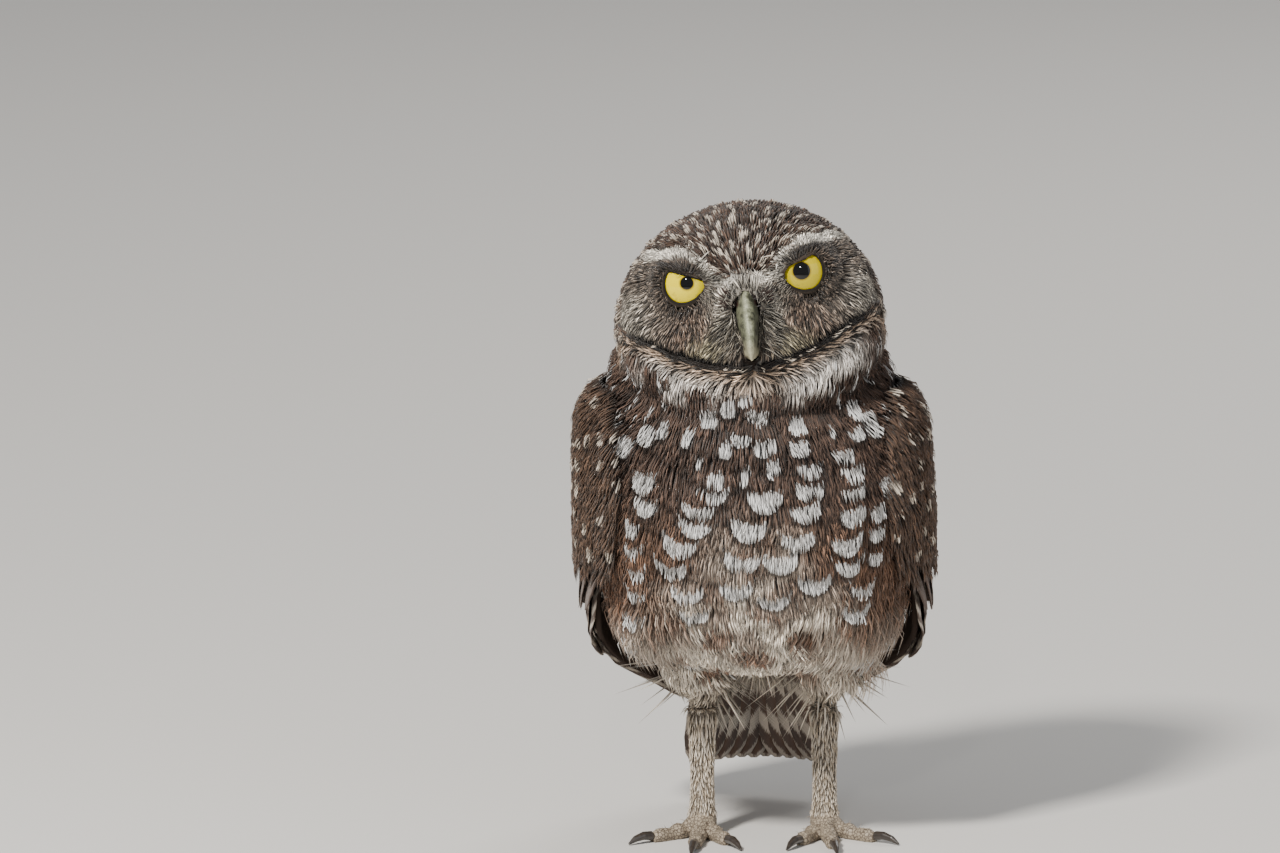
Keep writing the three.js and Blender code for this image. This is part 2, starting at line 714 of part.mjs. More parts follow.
const legs = [];
for (const [label, side] of [["left", 1], ["right", -1]]) {
  const x = LEG_X[label];
  legs.push(thigh(x));
  owl.add(
    meshOf(`wing_${label}`, wing(side), FINISH.flight()),
    meshOf(`thigh_${label}`, legs.at(-1), FINISH.belly()),
    meshOf(`tarsus_${label}`, tarsus(x), FINISH.belly()),
    meshOf(`foot_${label}`, foot(x, side), FINISH.skin()),
  );
  for (const toe of TOES) {
    owl.add(meshOf(`claw_${label}_${toe.name}`, claw(x, side, toe), FINISH.claw()));
  }
}
owl.add(meshOf("torso", torso, FINISH.plumage()));

// The origin is on the floor, under the middle of the whole bird
const extent = new THREE.Box3().setFromObject(owl, true);
const middle = extent.getCenter(new THREE.Vector3());
owl.position.set(-middle.x, -middle.y, -extent.min.z);

const bird = new THREE.Group();
bird.add(owl);

export default bird;
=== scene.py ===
# %% [markdown]
# # A burrowing owl, barb by barb
# The part is a still, life-size burrowing owl that stands on its own feet and frowns at the viewer.
# The solid model gives its size and where everything sits. This lesson dresses it: a seamless skin,
# feathers built from their own fine barbs, layered wings, a horn bill and two wet yellow eyes.

import json
import math

import bmesh
import bpy
import numpy as np
from mathutils import Matrix, Vector
from mathutils.bvhtree import BVHTree
from mathutils.kdtree import KDTree

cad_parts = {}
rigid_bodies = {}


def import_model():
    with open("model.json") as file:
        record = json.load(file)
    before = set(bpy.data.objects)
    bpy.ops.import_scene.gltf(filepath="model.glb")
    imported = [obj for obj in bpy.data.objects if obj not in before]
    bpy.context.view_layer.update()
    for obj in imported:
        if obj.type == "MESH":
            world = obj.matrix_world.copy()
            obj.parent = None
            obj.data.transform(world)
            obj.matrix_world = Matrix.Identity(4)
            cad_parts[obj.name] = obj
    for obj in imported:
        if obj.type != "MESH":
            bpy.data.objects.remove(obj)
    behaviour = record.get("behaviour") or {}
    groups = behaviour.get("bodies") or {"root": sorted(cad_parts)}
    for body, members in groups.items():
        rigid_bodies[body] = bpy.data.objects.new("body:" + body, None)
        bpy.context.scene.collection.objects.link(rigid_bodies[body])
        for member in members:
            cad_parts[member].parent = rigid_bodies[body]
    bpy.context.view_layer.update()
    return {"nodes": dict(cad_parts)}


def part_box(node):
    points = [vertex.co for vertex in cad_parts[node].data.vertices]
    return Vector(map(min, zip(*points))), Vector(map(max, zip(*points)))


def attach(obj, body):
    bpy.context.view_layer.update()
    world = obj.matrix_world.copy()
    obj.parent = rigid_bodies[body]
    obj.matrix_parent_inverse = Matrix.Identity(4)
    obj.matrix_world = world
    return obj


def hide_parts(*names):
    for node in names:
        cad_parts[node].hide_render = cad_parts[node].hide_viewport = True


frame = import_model()
MM = 0.001
print("solid nodes:", len(frame["nodes"]))

# %% [markdown]
# ## Where things are
# Sizes are in millimetres and the head has its own frame, as a sculptor would work on it: the origin in
# the middle of the skull, -Y straight out of the face, Z to the crown. The head leans a little and looks
# slightly up. Both eyes are spheres in the solid model, so the middle between their boxes fixes the head.

# %% Find the head and the body in the solid model
HEAD_PITCH, HEAD_ROLL = 8.0, 6.2
EYE_X, EYE_Y, EYE_Z = 14.9, -22.6, 12.6
HEAD_IN_BODY = np.array([0.3, -8.0, 137.5])

head_turn = np.array(
    Matrix.Rotation(math.radians(-HEAD_ROLL), 3, "Y") @ Matrix.Rotation(math.radians(-HEAD_PITCH), 3, "X")
)


def centre_of(node):
    low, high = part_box(node)
    return np.array((low + high) / 2) / MM


between_eyes = (centre_of("eye_left") + centre_of("eye_right")) / 2
head_centre = between_eyes - head_turn @ [0, EYE_Y, EYE_Z]
body_shift = head_centre - HEAD_IN_BODY
print("head centre in mm:", head_centre.round(2), "body shift:", body_shift.round(2))


def to_head(points):
    """Points in mm, seen in the head's own frame."""
    return (points - head_centre) @ head_turn


def from_head(points):
    return points @ head_turn.T + head_centre


def unit(vectors):
    return vectors / (np.linalg.norm(vectors, axis=-1, keepdims=True) + 1e-12)


def smooth(x, low, high):
    t = np.clip((x - low) / (high - low), 0, 1)
    return t * t * (3 - 2 * t)


def mix(a, b, t):
    return a + (b - a) * t


def along_surface(vectors, normals):
    """The part of each vector that lies in the surface, at unit length."""
    return unit(vectors - normals * np.sum(vectors * normals, -1, keepdims=True))


# %% [markdown]
# ## Camera
# A long lens a few metres away flattens the bird as in a wildlife portrait. One millimetre on the owl is
# 3.85 pixels of a 1280 pixel wide frame, and the skull's middle sits right of and above the frame's middle.

# %% Set the camera
PIXELS_PER_MM = 3.85
FRAME_WIDTH, FRAME_HEIGHT = 1280, 853
HEAD_PIXEL = (750, 323)
CAMERA_RISE, CAMERA_DISTANCE = math.radians(10), 5.0

camera = bpy.data.objects.new("camera", bpy.data.cameras.new("camera"))
bpy.context.scene.collection.objects.link(camera)
bpy.context.scene.camera = camera
camera.data.lens = camera.data.sensor_width * CAMERA_DISTANCE / (FRAME_WIDTH / PIXELS_PER_MM * MM)
forward = Vector((0, math.cos(CAMERA_RISE), -math.sin(CAMERA_RISE)))
upward = Vector((0, math.sin(CAMERA_RISE), math.cos(CAMERA_RISE)))
right_mm = (HEAD_PIXEL[0] - FRAME_WIDTH / 2) / PIXELS_PER_MM
up_mm = (FRAME_HEIGHT / 2 - HEAD_PIXEL[1]) / PIXELS_PER_MM
aim = Vector(head_centre * MM) - Vector((right_mm * MM, 0, 0)) - upward * (up_mm * MM)
camera.location = aim - forward * CAMERA_DISTANCE
camera.rotation_euler = (math.pi / 2 - CAMERA_RISE, 0, 0)
camera.data.clip_end = 50
print("lens in mm:", round(camera.data.lens))

# %% [markdown]
# ## Pigments and materials
# Feather colours come from two pigments, a dark brown and a rusty buff, on white. Each feather carries
# its base colour, its pale colour and its pattern as attributes on its points. One material reads them
# for the flight feathers and another for the soft barbs, so all feathers of a kind share one recipe.


# %% Helpers that write a material as formulas
def pigment(red, green, blue):
    """A colour as painters' 0 to 255 values, turned into the linear values that a renderer wants."""
    c = np.array([red, green, blue]) / 255
    return np.where(c <= 0.04045, c / 12.92, ((c + 0.055) / 1.055) ** 2.4)


class Recipe:
    """A material whose nodes are written as formulas."""

    def __init__(self, name):
        self.material = bpy.data.materials.new(name)
        self.material.use_nodes = True
        self.tree = self.material.node_tree
        self.shader = self.tree.nodes["Principled BSDF"]

    def node(self, kind, **settings):
        made = self.tree.nodes.new(kind)
        for key, value in settings.items():
            setattr(made, key, value)
        return made

    def feed(self, socket, value):
        if isinstance(value, bpy.types.NodeSocket):
            self.tree.links.new(value, socket)
        elif hasattr(socket.default_value, "__len__"):
            value = list(value) if hasattr(value, "__len__") else [value] * len(socket.default_value)
            socket.default_value = (value + [1.0])[: len(socket.default_value)]
        else:
            socket.default_value = value

    def math(self, operation, *values):
        made = self.node("ShaderNodeMath", operation=operation)
        for socket, value in zip(made.inputs, values):
            self.feed(socket, value)
        return made.outputs[0]

    def band(self, value, low, high):
        """0 below low and 1 above high, or the other way round where low is above high."""
        made = self.node("ShaderNodeMapRange", interpolation_type="SMOOTHSTEP")
        turned = low > high
        for socket, number in zip(made.inputs, (value, *sorted((low, high)), int(turned), int(not turned))):
            self.feed(socket, number)
        return made.outputs[0]

    def blend(self, share, first, second):
        made = self.node("ShaderNodeMix", data_type="RGBA")
        for index, value in ((0, share), (6, first), (7, second)):
            self.feed(made.inputs[index], value)
        return made.outputs[2]

    def attribute(self, name, output="Color"):
        return self.node("ShaderNodeAttribute", attribute_name=name).outputs[output]

    def uv(self, name):
        split = self.node("ShaderNodeSeparateXYZ")
        self.feed(split.inputs[0], self.node("ShaderNodeUVMap", uv_map=name).outputs[0])
        return split.outputs[0], split.outputs[1]

    def noise(self, scale, detail, vector=None):
        made = self.node("ShaderNodeTexNoise")
        self.feed(made.inputs["Scale"], scale)
        self.feed(made.inputs["Detail"], detail)
        self.feed(made.inputs["Vector"], vector or self.node("ShaderNodeTexCoord").outputs["Object"])
        return made.outputs["Fac"]

    def bump(self, height, strength, distance):
        made = self.node("ShaderNodeBump")
        for name, value in (("Height", height), ("Strength", strength), ("Distance", distance)):
            self.feed(made.inputs[name], value)
        self.feed(self.shader.inputs["Normal"], made.outputs[0])

    def finish(self, **values):
        for name, value in values.items():
            self.feed(self.shader.inputs[name.replace("_", " ")], value)
        return self.material


# %% [markdown]
# ### Plumage
# Across a feather u runs from -1 to 1, and v from its root to its tip. Spots come in pairs beside the
# shaft near the tip, and bars cross the whole feather. Their edges are frayed because each barb ends its
# pale part a little earlier or later than the next.


# %% The plumage recipe
WIDE_BAR = (0.74, 0.88)  # where the broad bar near the tip starts and ends, from root 0 to tip 1
THIN_BARS, THIN_BAR = (0.1, 0.29, 0.5), 0.12  # where the narrow bars start, and how wide they are
BAR_SOFTNESS = 0.03
BARB_SHADOW, PALE_SHADOW = [0.02, 0.013, 0.009], [0.3, 0.28, 0.27]
SHAFT_BROWN, VANE_ROOT = [0.05, 0.035, 0.025], [0.03, 0.024, 0.02]


def plumage(name, barbs, roughness):
    r = Recipe(name)
    across, v = r.uv("Feather")
    u = r.math("SUBTRACT", r.math("MULTIPLY", across, 2.0), 1.0)
    side = r.math("ABSOLUTE", u)
    pattern = r.node("ShaderNodeSeparateColor")
    r.feed(pattern.inputs[0], r.attribute("pattern"))
    spotted, barred = pattern.outputs[:2]
    chance = r.attribute("chance", "Fac")
    # the number of the barb that a point lies on, and how far that barb's colour runs out
    barb = r.math("SUBTRACT", r.math("MULTIPLY", v, barbs), r.math("MULTIPLY", side, barbs * 0.22))
    spread = r.node("ShaderNodeCombineXYZ")
    r.feed(spread.inputs[0], r.math("MULTIPLY", barb, 1.3))
    r.feed(spread.inputs[1], r.math("MULTIPLY", r.math("SIGN", u), 7.0))
    r.feed(spread.inputs[2], r.math("MULTIPLY", chance, 90.0))
    ragged = r.math("SUBTRACT", r.noise(1.0, 1.0, spread.outputs[0]), 0.5)
    rough_v = r.math("ADD", v, r.math("MULTIPLY", ragged, 0.12))
    rough_side = r.math("ADD", side, r.math("MULTIPLY", ragged, 0.3))

    beside = r.math("DIVIDE", r.math("SUBTRACT", rough_side, 0.5), 0.27)
    along = r.math("DIVIDE", r.math("SUBTRACT", rough_v, 0.86), 0.08)
    away = r.math("ADD", r.math("POWER", r.math("ABSOLUTE", beside), 2.6),
                  r.math("POWER", r.math("ABSOLUTE", along), 2.6))
    spots = r.math("MULTIPLY", r.band(away, 1.25, 0.75), spotted)
    curved = r.math("ADD", rough_v, r.math("MULTIPLY", r.math("POWER", side, 2.0), 0.12))

    def bar_from(low, high):
        start, end = r.band(curved, low, low + BAR_SOFTNESS), r.band(curved, high, high - BAR_SOFTNESS)
        return r.math("MULTIPLY", start, end)

    bar = bar_from(*WIDE_BAR)
    for low in THIN_BARS:
        bar = r.math("MAXIMUM", bar, bar_from(low, low + THIN_BAR))
    edge = r.band(curved, 0.985, 1.0)
    bars = r.math("MULTIPLY", r.math("MAXIMUM", bar, edge), barred)
    pale_share = r.math("MAXIMUM", spots, bars)

    stripes = r.math("SINE", r.math("MULTIPLY", barb, 2 * math.pi))
    shaft = r.band(side, 0.07, 0.02)
    base = r.blend(r.math("MULTIPLY_ADD", stripes, 0.13, 0.14), r.attribute("tint"), BARB_SHADOW)
    pale = r.blend(r.math("MULTIPLY_ADD", stripes, 0.05, 0.06), r.attribute("pale"), PALE_SHADOW)
    mixed = r.blend(pale_share, base, pale)
    shafted = r.blend(r.math("MULTIPLY", shaft, 0.4), mixed, SHAFT_BROWN)
    rooted = r.blend(r.band(v, 0.35, 0.0), shafted, VANE_ROOT)
    height = r.math("ADD", stripes, r.math("MULTIPLY", shaft, 1.5))
    r.bump(height, 0.5, 0.00012)
    return r.finish(Base_Color=rooted, Roughness=roughness, Specular_IOR_Level=0.25,
                    Sheen_Weight=0.15, Sheen_Roughness=0.5)


flight_material = plumage("flight plumage", barbs=60.0, roughness=0.6)
print("plumage nodes:", len(flight_material.node_tree.nodes))

# %% [markdown]
# ### Soft barbs and skin
# Over the body, the head and the legs the feathers are too soft to show a vane, and each barb is a shape of
# its own, dark at its root. Its points say where they lie in the nearest pale mark, and the material turns
# that into a mark with a frayed edge, over a dark line that is partly painted shadow. The skin under
# everything takes the same colours, darkened as painted shade.


# %% Recipes of the soft barbs and of the skin
MARK_SQUARENESS = 3  # the power of a mark's outline: 2 is an oval, and more is squarer
BARB_ROOT, BARB_GRAIN, SKIN_GRAIN = [0.012, 0.009, 0.007], [0.02, 0.016, 0.013], [0.03, 0.022, 0.018]


def ink(r):
    """How much of a point lies inside a pale mark, on its dark rim and in its lower part. The map tells where
    the point lies in its mark, along and across it, and the mark's smaller half size in mm. Upwards a mark
    fades out barb by barb, and below it ends crisply over a dark line: partly the dark tips of the feathers
    below, partly painted shadow under the mark's edge."""
    pattern = r.node("ShaderNodeSeparateColor")
    r.feed(pattern.inputs[0], r.attribute("pattern"))
    along, beside, half = pattern.outputs
    reach = r.math("ADD", r.math("POWER", r.math("ABSOLUTE", along), MARK_SQUARENESS),
                   r.math("POWER", r.math("ABSOLUTE", beside), MARK_SQUARENESS))
    inside = r.math("MULTIPLY", r.math("SUBTRACT", 1.0, r.math("POWER", reach, 1 / MARK_SQUARENESS)), half)
    fray = r.math("MULTIPLY_ADD", r.band(along, 0.2, -1.0), 1.1, 0.3)
    ragged = r.math("MULTIPLY", r.math("SUBTRACT", r.attribute("chance", "Fac"), 0.5), fray)
    depth = r.math("ADD", inside, ragged)
    rim = r.math("MULTIPLY", r.band(depth, -1.3, -0.5), r.band(depth, 0.1, -0.1))
    # The rim below a mark: dark feather tips and painted shadow under the mark's edge.
    lower_rim_and_shadow = r.math("MULTIPLY", rim, r.band(along, -0.3, 0.6))
    return r.band(depth, -0.1, 0.14), lower_rim_and_shadow, r.band(along, -1.2, 0.4)


def tuft_recipe(name):
    r = Recipe(name)
    _, v = r.uv("Feather")
    marked, rim, low = ink(r)
    grain = r.noise(1500.0, 2.0)
    # The dark line under each mark is partly painted shadow and partly the feathers' dark tips.
    base = r.blend(r.math("MULTIPLY", rim, 0.6), r.attribute("tint"), BARB_ROOT)
    faded = r.blend(r.math("MULTIPLY_ADD", low, -0.35, 0.35), r.attribute("pale"), r.attribute("tint"))
    mixed = r.blend(marked, base, faded)
    rooted = r.blend(r.math("MULTIPLY", r.band(v, 0.6, 0.0), 0.75), mixed, BARB_ROOT)
    shade = r.blend(r.math("MULTIPLY", grain, 0.3), rooted, BARB_GRAIN)
    return r.finish(Base_Color=shade, Roughness=0.75, Specular_IOR_Level=0.2, Sheen_Weight=0.12)


def skin_recipe(name):
    r = Recipe(name)
    grain = r.noise(900.0, 3.0)
    shade = r.blend(r.math("MULTIPLY", grain, 0.5), r.attribute("tint"), SKIN_GRAIN)
    r.bump(grain, 0.4, 0.0002)
    return r.finish(Base_Color=shade, Roughness=0.9, Specular_IOR_Level=0.15)


tuft_material = tuft_recipe("fine barbs")
skin_material = skin_recipe("skin under the plumage")

# %% [markdown]
# ## Making meshes from arrays
# Thousands of like shapes are made at once: every barb is the same seven points, bent and placed by
# arrays, and then all of them become one mesh. Each one is closed, so that it is solid from all sides.


# %% Helpers that turn arrays into pieces
def outward(points, faces):
    """The same faces, turned so that the closed shapes face out."""
    volume = 0.0
    for f in faces:
        for k in range(1, f.shape[1] - 1):
            volume += np.sum(points[f[:, 0]] * np.cross(points[f[:, k]], points[f[:, k + 1]]))
    return faces if volume > 0 else [f[:, ::-1] for f in faces]


def add_piece(name, points, faces, material, replaces=(), uv=None, colours=None, bake=None):
    """points in mm; faces is a list of index arrays, one row a face."""
    mesh = bpy.data.meshes.new(name)
    loops = np.concatenate([f.ravel() for f in faces]).astype(np.int32)
    sizes = np.concatenate([np.full(len(f), f.shape[1]) for f in faces])
    starts = np.concatenate([[0], np.cumsum(sizes)[:-1]]).astype(np.int32)
    mesh.vertices.add(len(points))
    mesh.vertices.foreach_set("co", (points * MM).astype(np.float32).ravel())
    mesh.loops.add(len(loops))
    mesh.loops.foreach_set("vertex_index", loops)
    mesh.polygons.add(len(sizes))
    mesh.polygons.foreach_set("loop_start", starts)
    for map_name, places in (("Feather", uv), ("OFBake", bake)):
        if places is not None:
            layer = mesh.uv_layers.new(name=map_name)
            layer.data.foreach_set("uv", places[loops].astype(np.float32).ravel())
    for key, values in (colours or {}).items():
        if values.ndim == 1:
            layer = mesh.attributes.new(key, "FLOAT", "POINT")
            layer.data.foreach_set("value", values.astype(np.float32))
        else:
            layer = mesh.attributes.new(key, "FLOAT_COLOR", "POINT")
            rgba = np.concatenate([values, np.ones((len(values), 1))], axis=1)
            layer.data.foreach_set("color", rgba.astype(np.float32).ravel())
    mesh.update()
    mesh.validate()
    mesh.shade_smooth()
    mesh.materials.append(material)
    piece = bpy.data.objects.new(name, mesh)
    bpy.context.scene.collection.objects.link(piece)
    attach(piece, "root")
    if replaces:
        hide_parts(*replaces)
    print(f"{name}: {int((sizes - 2).sum())} triangles")
    return piece


def grid_faces(count, stations, ring):
    """Faces of count closed tubes of stations by ring points, with flat ends."""
    i, k = np.meshgrid(np.arange(stations - 1), np.arange(ring), indexing="ij")
    after = (k + 1) % ring
    quads = np.stack([i * ring + k, i * ring + after, (i + 1) * ring + after, (i + 1) * ring + k], -1)
    offsets = np.arange(count)[:, None, None] * stations * ring
    sides = (quads.reshape(1, -1, 4) + offsets).reshape(-1, 4)
    ends = np.stack([np.arange(ring)[::-1], (stations - 1) * ring + np.arange(ring)])
    return [sides, (ends[None] + offsets).reshape(-1, ring)]


BLADE_SIDES = np.array([[0, 1, 4, 3], [1, 2, 5, 4], [2, 0, 3, 5]])
BLADE_ENDS = np.array([[0, 2, 1], [3, 4, 6], [4, 5, 6], [5, 3, 6]])


def blade_faces(count):
    """Faces of count closed three-sided blades of seven points: two rings and a tip."""
    offsets = np.arange(count)[:, None, None] * 7
    return [(BLADE_SIDES[None] + offsets).reshape(-1, 4), (BLADE_ENDS[None] + offsets).reshape(-1, 3)]


MAP_MARGIN, MAP_HEIGHT = 0.02, 175  # the free rim of the unrolled skin's map, and the height in mm it holds
PATCH = 0.003  # how large one barb is on that map


def unwrap(points):
    """A place on the unrolled skin: the angle round the body's upright axis, and the height."""
    body = points - body_shift
    angle = np.arctan2(body[..., 1] + 2, body[..., 0] - 1)
    room = 1 - 2 * MAP_MARGIN
    return np.stack([MAP_MARGIN + room * (angle / (2 * math.pi) + 0.5),
                     MAP_MARGIN + room * body[..., 2] / MAP_HEIGHT], -1)


def feather_piece(name, parts, material, replaces=()):
    """One mesh from several batches of closed shapes, each with points, uv, faces, place and colours.
    The bake map gives each shape a small patch at its root's place on the unwrapped skin."""
    points, uvs, bakes, faces, start = [], [], [], [], 0
    colours = {"tint": [], "pale": [], "pattern": [], "chance": []}
    for part in parts:
        flat, flat_uv, roots = part["points"].reshape(-1, 3), part["uv"].reshape(-1, 2), part["place"]
        each = len(flat) // len(roots)
        points.append(flat)
        uvs.append(flat_uv)
        bakes.append(np.repeat(roots, each, 0) + PATCH * (np.clip(flat_uv, 0, 1) - 0.5))
        faces += [f + start for f in outward(flat, part["faces"])]
        for key in colours:
            value = part[key]
            colours[key].append(value.reshape(-1, 3) if value.ndim == 3 else np.repeat(value, each, 0))
        start += len(flat)
    by_size = {}
    for f in faces:
        by_size.setdefault(f.shape[1], []).append(f)
    merged = [np.concatenate(group) for group in by_size.values()]
    return add_piece(name, np.concatenate(points), merged, material, replaces, np.concatenate(uvs),
                     {k: np.concatenate(v) for k, v in colours.items()}, np.concatenate(bakes))

# %% [markdown]
# ## The skin
# Head, neck, torso and thighs are separate solids so that they can be named. On the bird they are one
# unbroken skin. Copies are pushed out a hair so that they overlap, fused with a voxel remesh and
# smoothed, and then drawn in by the depth of the plumage.


# %% Fuse the solids of the body into one skin
def fused(nodes, voxel, swell, rounds):
    """A closed mesh fused from copies of solid nodes, as points in mm and four-sided faces."""
    work = bmesh.new()
    for node in nodes:
        work.from_mesh(frame["nodes"][node].data)
    bmesh.ops.remove_doubles(work, verts=work.verts, dist=1e-6)
    work.normal_update()
    for vert in work.verts:
        vert.co += vert.normal * swell * MM
    mesh = bpy.data.meshes.new("fused")
    work.to_mesh(mesh)
    work.free()
    holder = bpy.data.objects.new("fused", mesh)
    bpy.context.scene.collection.objects.link(holder)
    remesh = holder.modifiers.new("remesh", "REMESH")
    remesh.mode, remesh.voxel_size = "VOXEL", voxel * MM
    calm = holder.modifiers.new("calm", "SMOOTH")
    calm.factor, calm.iterations = 0.5, rounds
    bpy.context.view_layer.update()
    made = bpy.data.meshes.new_from_object(holder.evaluated_get(bpy.context.evaluated_depsgraph_get()))
    points = np.empty(len(made.vertices) * 3, np.float32)
    made.vertices.foreach_get("co", points)
    quads = np.empty(len(made.loops), np.int32)
    made.loops.foreach_get("vertex_index", quads)
    bpy.data.objects.remove(holder)
    bpy.data.meshes.remove(mesh)
    bpy.data.meshes.remove(made)
    return points.reshape(-1, 3).astype(float) / MM, quads.reshape(-1, 4)


def point_normals(points, quads):
    """Point normals of a mesh of four-sided faces."""
    flat = np.cross(points[quads[:, 2]] - points[quads[:, 0]], points[quads[:, 3]] - points[quads[:, 1]])
    total = np.zeros_like(points)
    for i in range(4):
        np.add.at(total, quads[:, i], flat)
    return unit(total)


BODY_NODES = ("head", "neck", "torso", "thigh_left", "thigh_right")
body_points, body_quads = fused(BODY_NODES, 1.1, 0.35, 6)
body_normals = point_normals(body_points, body_quads)
print("skin points:", len(body_points))

# %% [markdown]
# ### The folded wing's guide
# Each wing lies on a guide surface round the bird's side. The same surface tells where the wing hides
# the body, so that the body is feathered up to the wing's edges and a little under them.

# %% The guide surface of the folded wing
GUIDE = np.array([
    [12, 12, 60, 70.5], [26, 26, 45, 68], [38, 38, 30, 64.5], [50, 44.5, 18, 59.5], [64, 46.5, 9, 54],
    [80, 47, 3, 48.5], [96, 46.6, -1, 44], [110, 45.8, -3, 39], [120, 43, -4, 33.5], [129, 37, -5, 26],
])  # height, half width, widest place and back line
WING_EDGES = np.array([
    [16, 48, 80], [30, 30, 84], [44, 4, 86], [60, -16, 84], [78, -26, 76], [96, -30, 64], [110, -30, 52],
    [120, -24, 40], [126, -12, 26],
])  # height, front edge and back edge as angles round from the side
CORE_INSET, BELLY_SHIFT = 2.4, 2.5
BELLY_LOW, FLESH_TOP = 44, 141


def curve(rows, x):
    """Reads smooth curves through rows of [x, a, b, ...] at many x."""
    slope = np.diff(rows[:, 1:], axis=0) / np.diff(rows[:, 0])[:, None]
    knots = np.empty_like(rows[:, 1:])
    knots[0], knots[-1] = slope[0], slope[-1]
    knots[1:-1] = (rows[2:, 1:] - rows[:-2, 1:]) / (rows[2:, :1] - rows[:-2, :1])
    i = np.clip(np.searchsorted(rows[:, 0], x) - 1, 0, len(rows) - 2)
    h = np.diff(rows[:, 0])[i][..., None]
    t = np.clip((x[..., None] - rows[i, :1]) / h, 0, 1)
    a, b = rows[i, 1:], rows[i + 1, 1:]
    values = mix(a, b, t * t * (3 - 2 * t))
    values = values + t * (1 - t) ** 2 * h * knots[i] - t * t * (1 - t) * h * knots[i + 1]
    return np.moveaxis(values, -1, 0)


def midline(z):
    return BELLY_SHIFT * (FLESH_TOP - z) / (FLESH_TOP - BELLY_LOW)


def wing_point(side, z, across, lift):
    """A point over the folded wing, in mm: height, share from the front edge to the back edge, and lift."""
    z, across, lift = np.broadcast_arrays(*(np.asarray(a, float) for a in (z, across, lift)))
    front, back = curve(WING_EDGES, z)
    half, widest, dorsal = curve(GUIDE, z)
    turn = np.radians(mix(front, back, across))
    reach = dorsal - widest
    nx, ny = np.cos(turn) / half, np.sin(turn) / reach
    size = np.hypot(nx, ny)
    offset = lift - CORE_INSET
    x = half * np.cos(turn) + offset * nx / size
    y = widest + reach * np.sin(turn) + offset * ny / size
    return np.stack([midline(z) + side * x, y, z], -1) + body_shift


# %% [markdown]
# ## The map of the plumage
# Everything that varies over the bird is written once here, as rules about a place: how deep the coat
# is, which way it lies, and what its pigments are. Skin and feathers both ask these rules, so their
# markings agree.

# %% Lines on the face and places on the bird
BROW = np.array([[3, 10], [7.5, 13], [14, 19.6], [26, 20.5]])
MOUTH = np.array([[0, -9.9], [9, -8.6], [18, -5.2], [25.5, -1.2], [34, 2]])
CROWN_EDGE = np.array([[0, 12.6], [4, 12.6], [8, 14.6], [14, 21.4], [26, 22.5], [34, 15]])
BILL_ROOT, BILL_FAN = np.array([0, -30.0, 8.0]), np.array([0, -34, 4])
MM_PER_DEGREE = 0.75  # along the bird's side


def distance_to(line, x, z):
    best = np.full(x.shape, 1e9)
    p = np.stack([np.abs(x), z], -1)
    for a, b in zip(line[:-1], line[1:]):
        t = np.clip(((p - a) @ (b - a)) / ((b - a) @ (b - a)), 0, 1)
        best = np.minimum(best, np.linalg.norm(p - a - t[..., None] * (b - a), axis=-1))
    return best


class Place:
    """Where points are on the bird, in the terms that a taxidermist would use."""

    def __init__(self, points):
        self.x, self.y, self.z = (points - body_shift).T
        self.head = to_head(points)
        self.hx, self.hy, self.hz = self.head.T
        wide = np.abs(self.hx)
        self.front = smooth(-self.hy, 2, 12)
        self.to_eye = np.hypot(wide - EYE_X, self.hz - EYE_Z)
        self.to_brow = distance_to(BROW, self.hx, self.hz)
        self.to_mouth = distance_to(MOUTH, self.hx, self.hz)
        self.under_mouth = np.interp(wide, *MOUTH.T) - self.hz
        self.over_brow = self.hz - np.interp(wide, *CROWN_EDGE.T)
        ruff = 5.6 - 2.8 * (wide / 30) ** 2
        front_head = smooth(ruff - self.under_mouth, -0.6, 0.6)
        rear_head = smooth(self.z, 126, 131)
        self.on_head = mix(rear_head, front_head, smooth(-self.hy, -2, 10)) * (self.z > 112)
        self.face = self.on_head * self.front * smooth(-self.over_brow, -0.6, 0.6)
        self.face = self.face * smooth(self.under_mouth, 0.4, -0.4) * smooth(wide, 34, 31)
        front_edge, back_edge = curve(WING_EDGES, self.z)
        half, widest, dorsal = curve(GUIDE, self.z)
        to_back = (self.y - widest) / (dorsal - widest)
        angle = np.degrees(np.arctan2(to_back, np.abs(self.x - midline(self.z)) / half))
        self.before_wing = (front_edge - angle) * MM_PER_DEGREE
        self.behind_wing = (angle - back_edge) * MM_PER_DEGREE
        self.wing_height = smooth(self.z, 123, 117) * smooth(self.z, 18, 26)


def coat_depth(place):
    depth = 3.1 - 1.0 * place.on_head
    depth = mix(depth, 1.2, place.face)
    bill = smooth(np.hypot(place.hx, (place.hz - 1) * 0.45), 9, 4) * place.front * place.on_head
    return mix(depth, 0.7, bill) - 0.8 * smooth(place.z, 46, 36)


def thickness(points, normals, quads, most=12.0):
    """How far it is through the solid below each point, in mm."""
    tree = BVHTree.FromPolygons(points.tolist(), quads.tolist())
    found = [tree.ray_cast(Vector(p - n * 0.1), Vector(-n), most)[3] for p, n in zip(points, normals)]
    return np.array([most if hit is None else hit for hit in found])


def calmed(values, quads, count, rounds=4):
    """Values of points, averaged with their neighbours' values a few times."""
    for _ in range(rounds):
        total, number = np.zeros(count), np.zeros(count)
        for i in range(4):
            np.add.at(total, quads[:, i], values[quads].mean(1))
            np.add.at(number, quads[:, i], 1)
        values = total / np.maximum(number, 1)
    return values


place = Place(body_points)
room = np.minimum(thickness(body_points, body_normals, body_quads) * 0.3, coat_depth(place) + 0.35)
room = np.minimum(calmed(room, body_quads, len(body_points)), room)
skin_points = body_points - body_normals * room[:, None]
skin_normals = point_normals(skin_points, body_quads)


# %% [markdown]
# ### Which way the feathers lie
# On the crown they stream back from the bill. On the face they fan out from each eye, and near the bill
# they fan out from its root. Under the mouth they first follow its line. Over the body they hang down and
# slightly outward, and under the belly they sweep back to the tail.

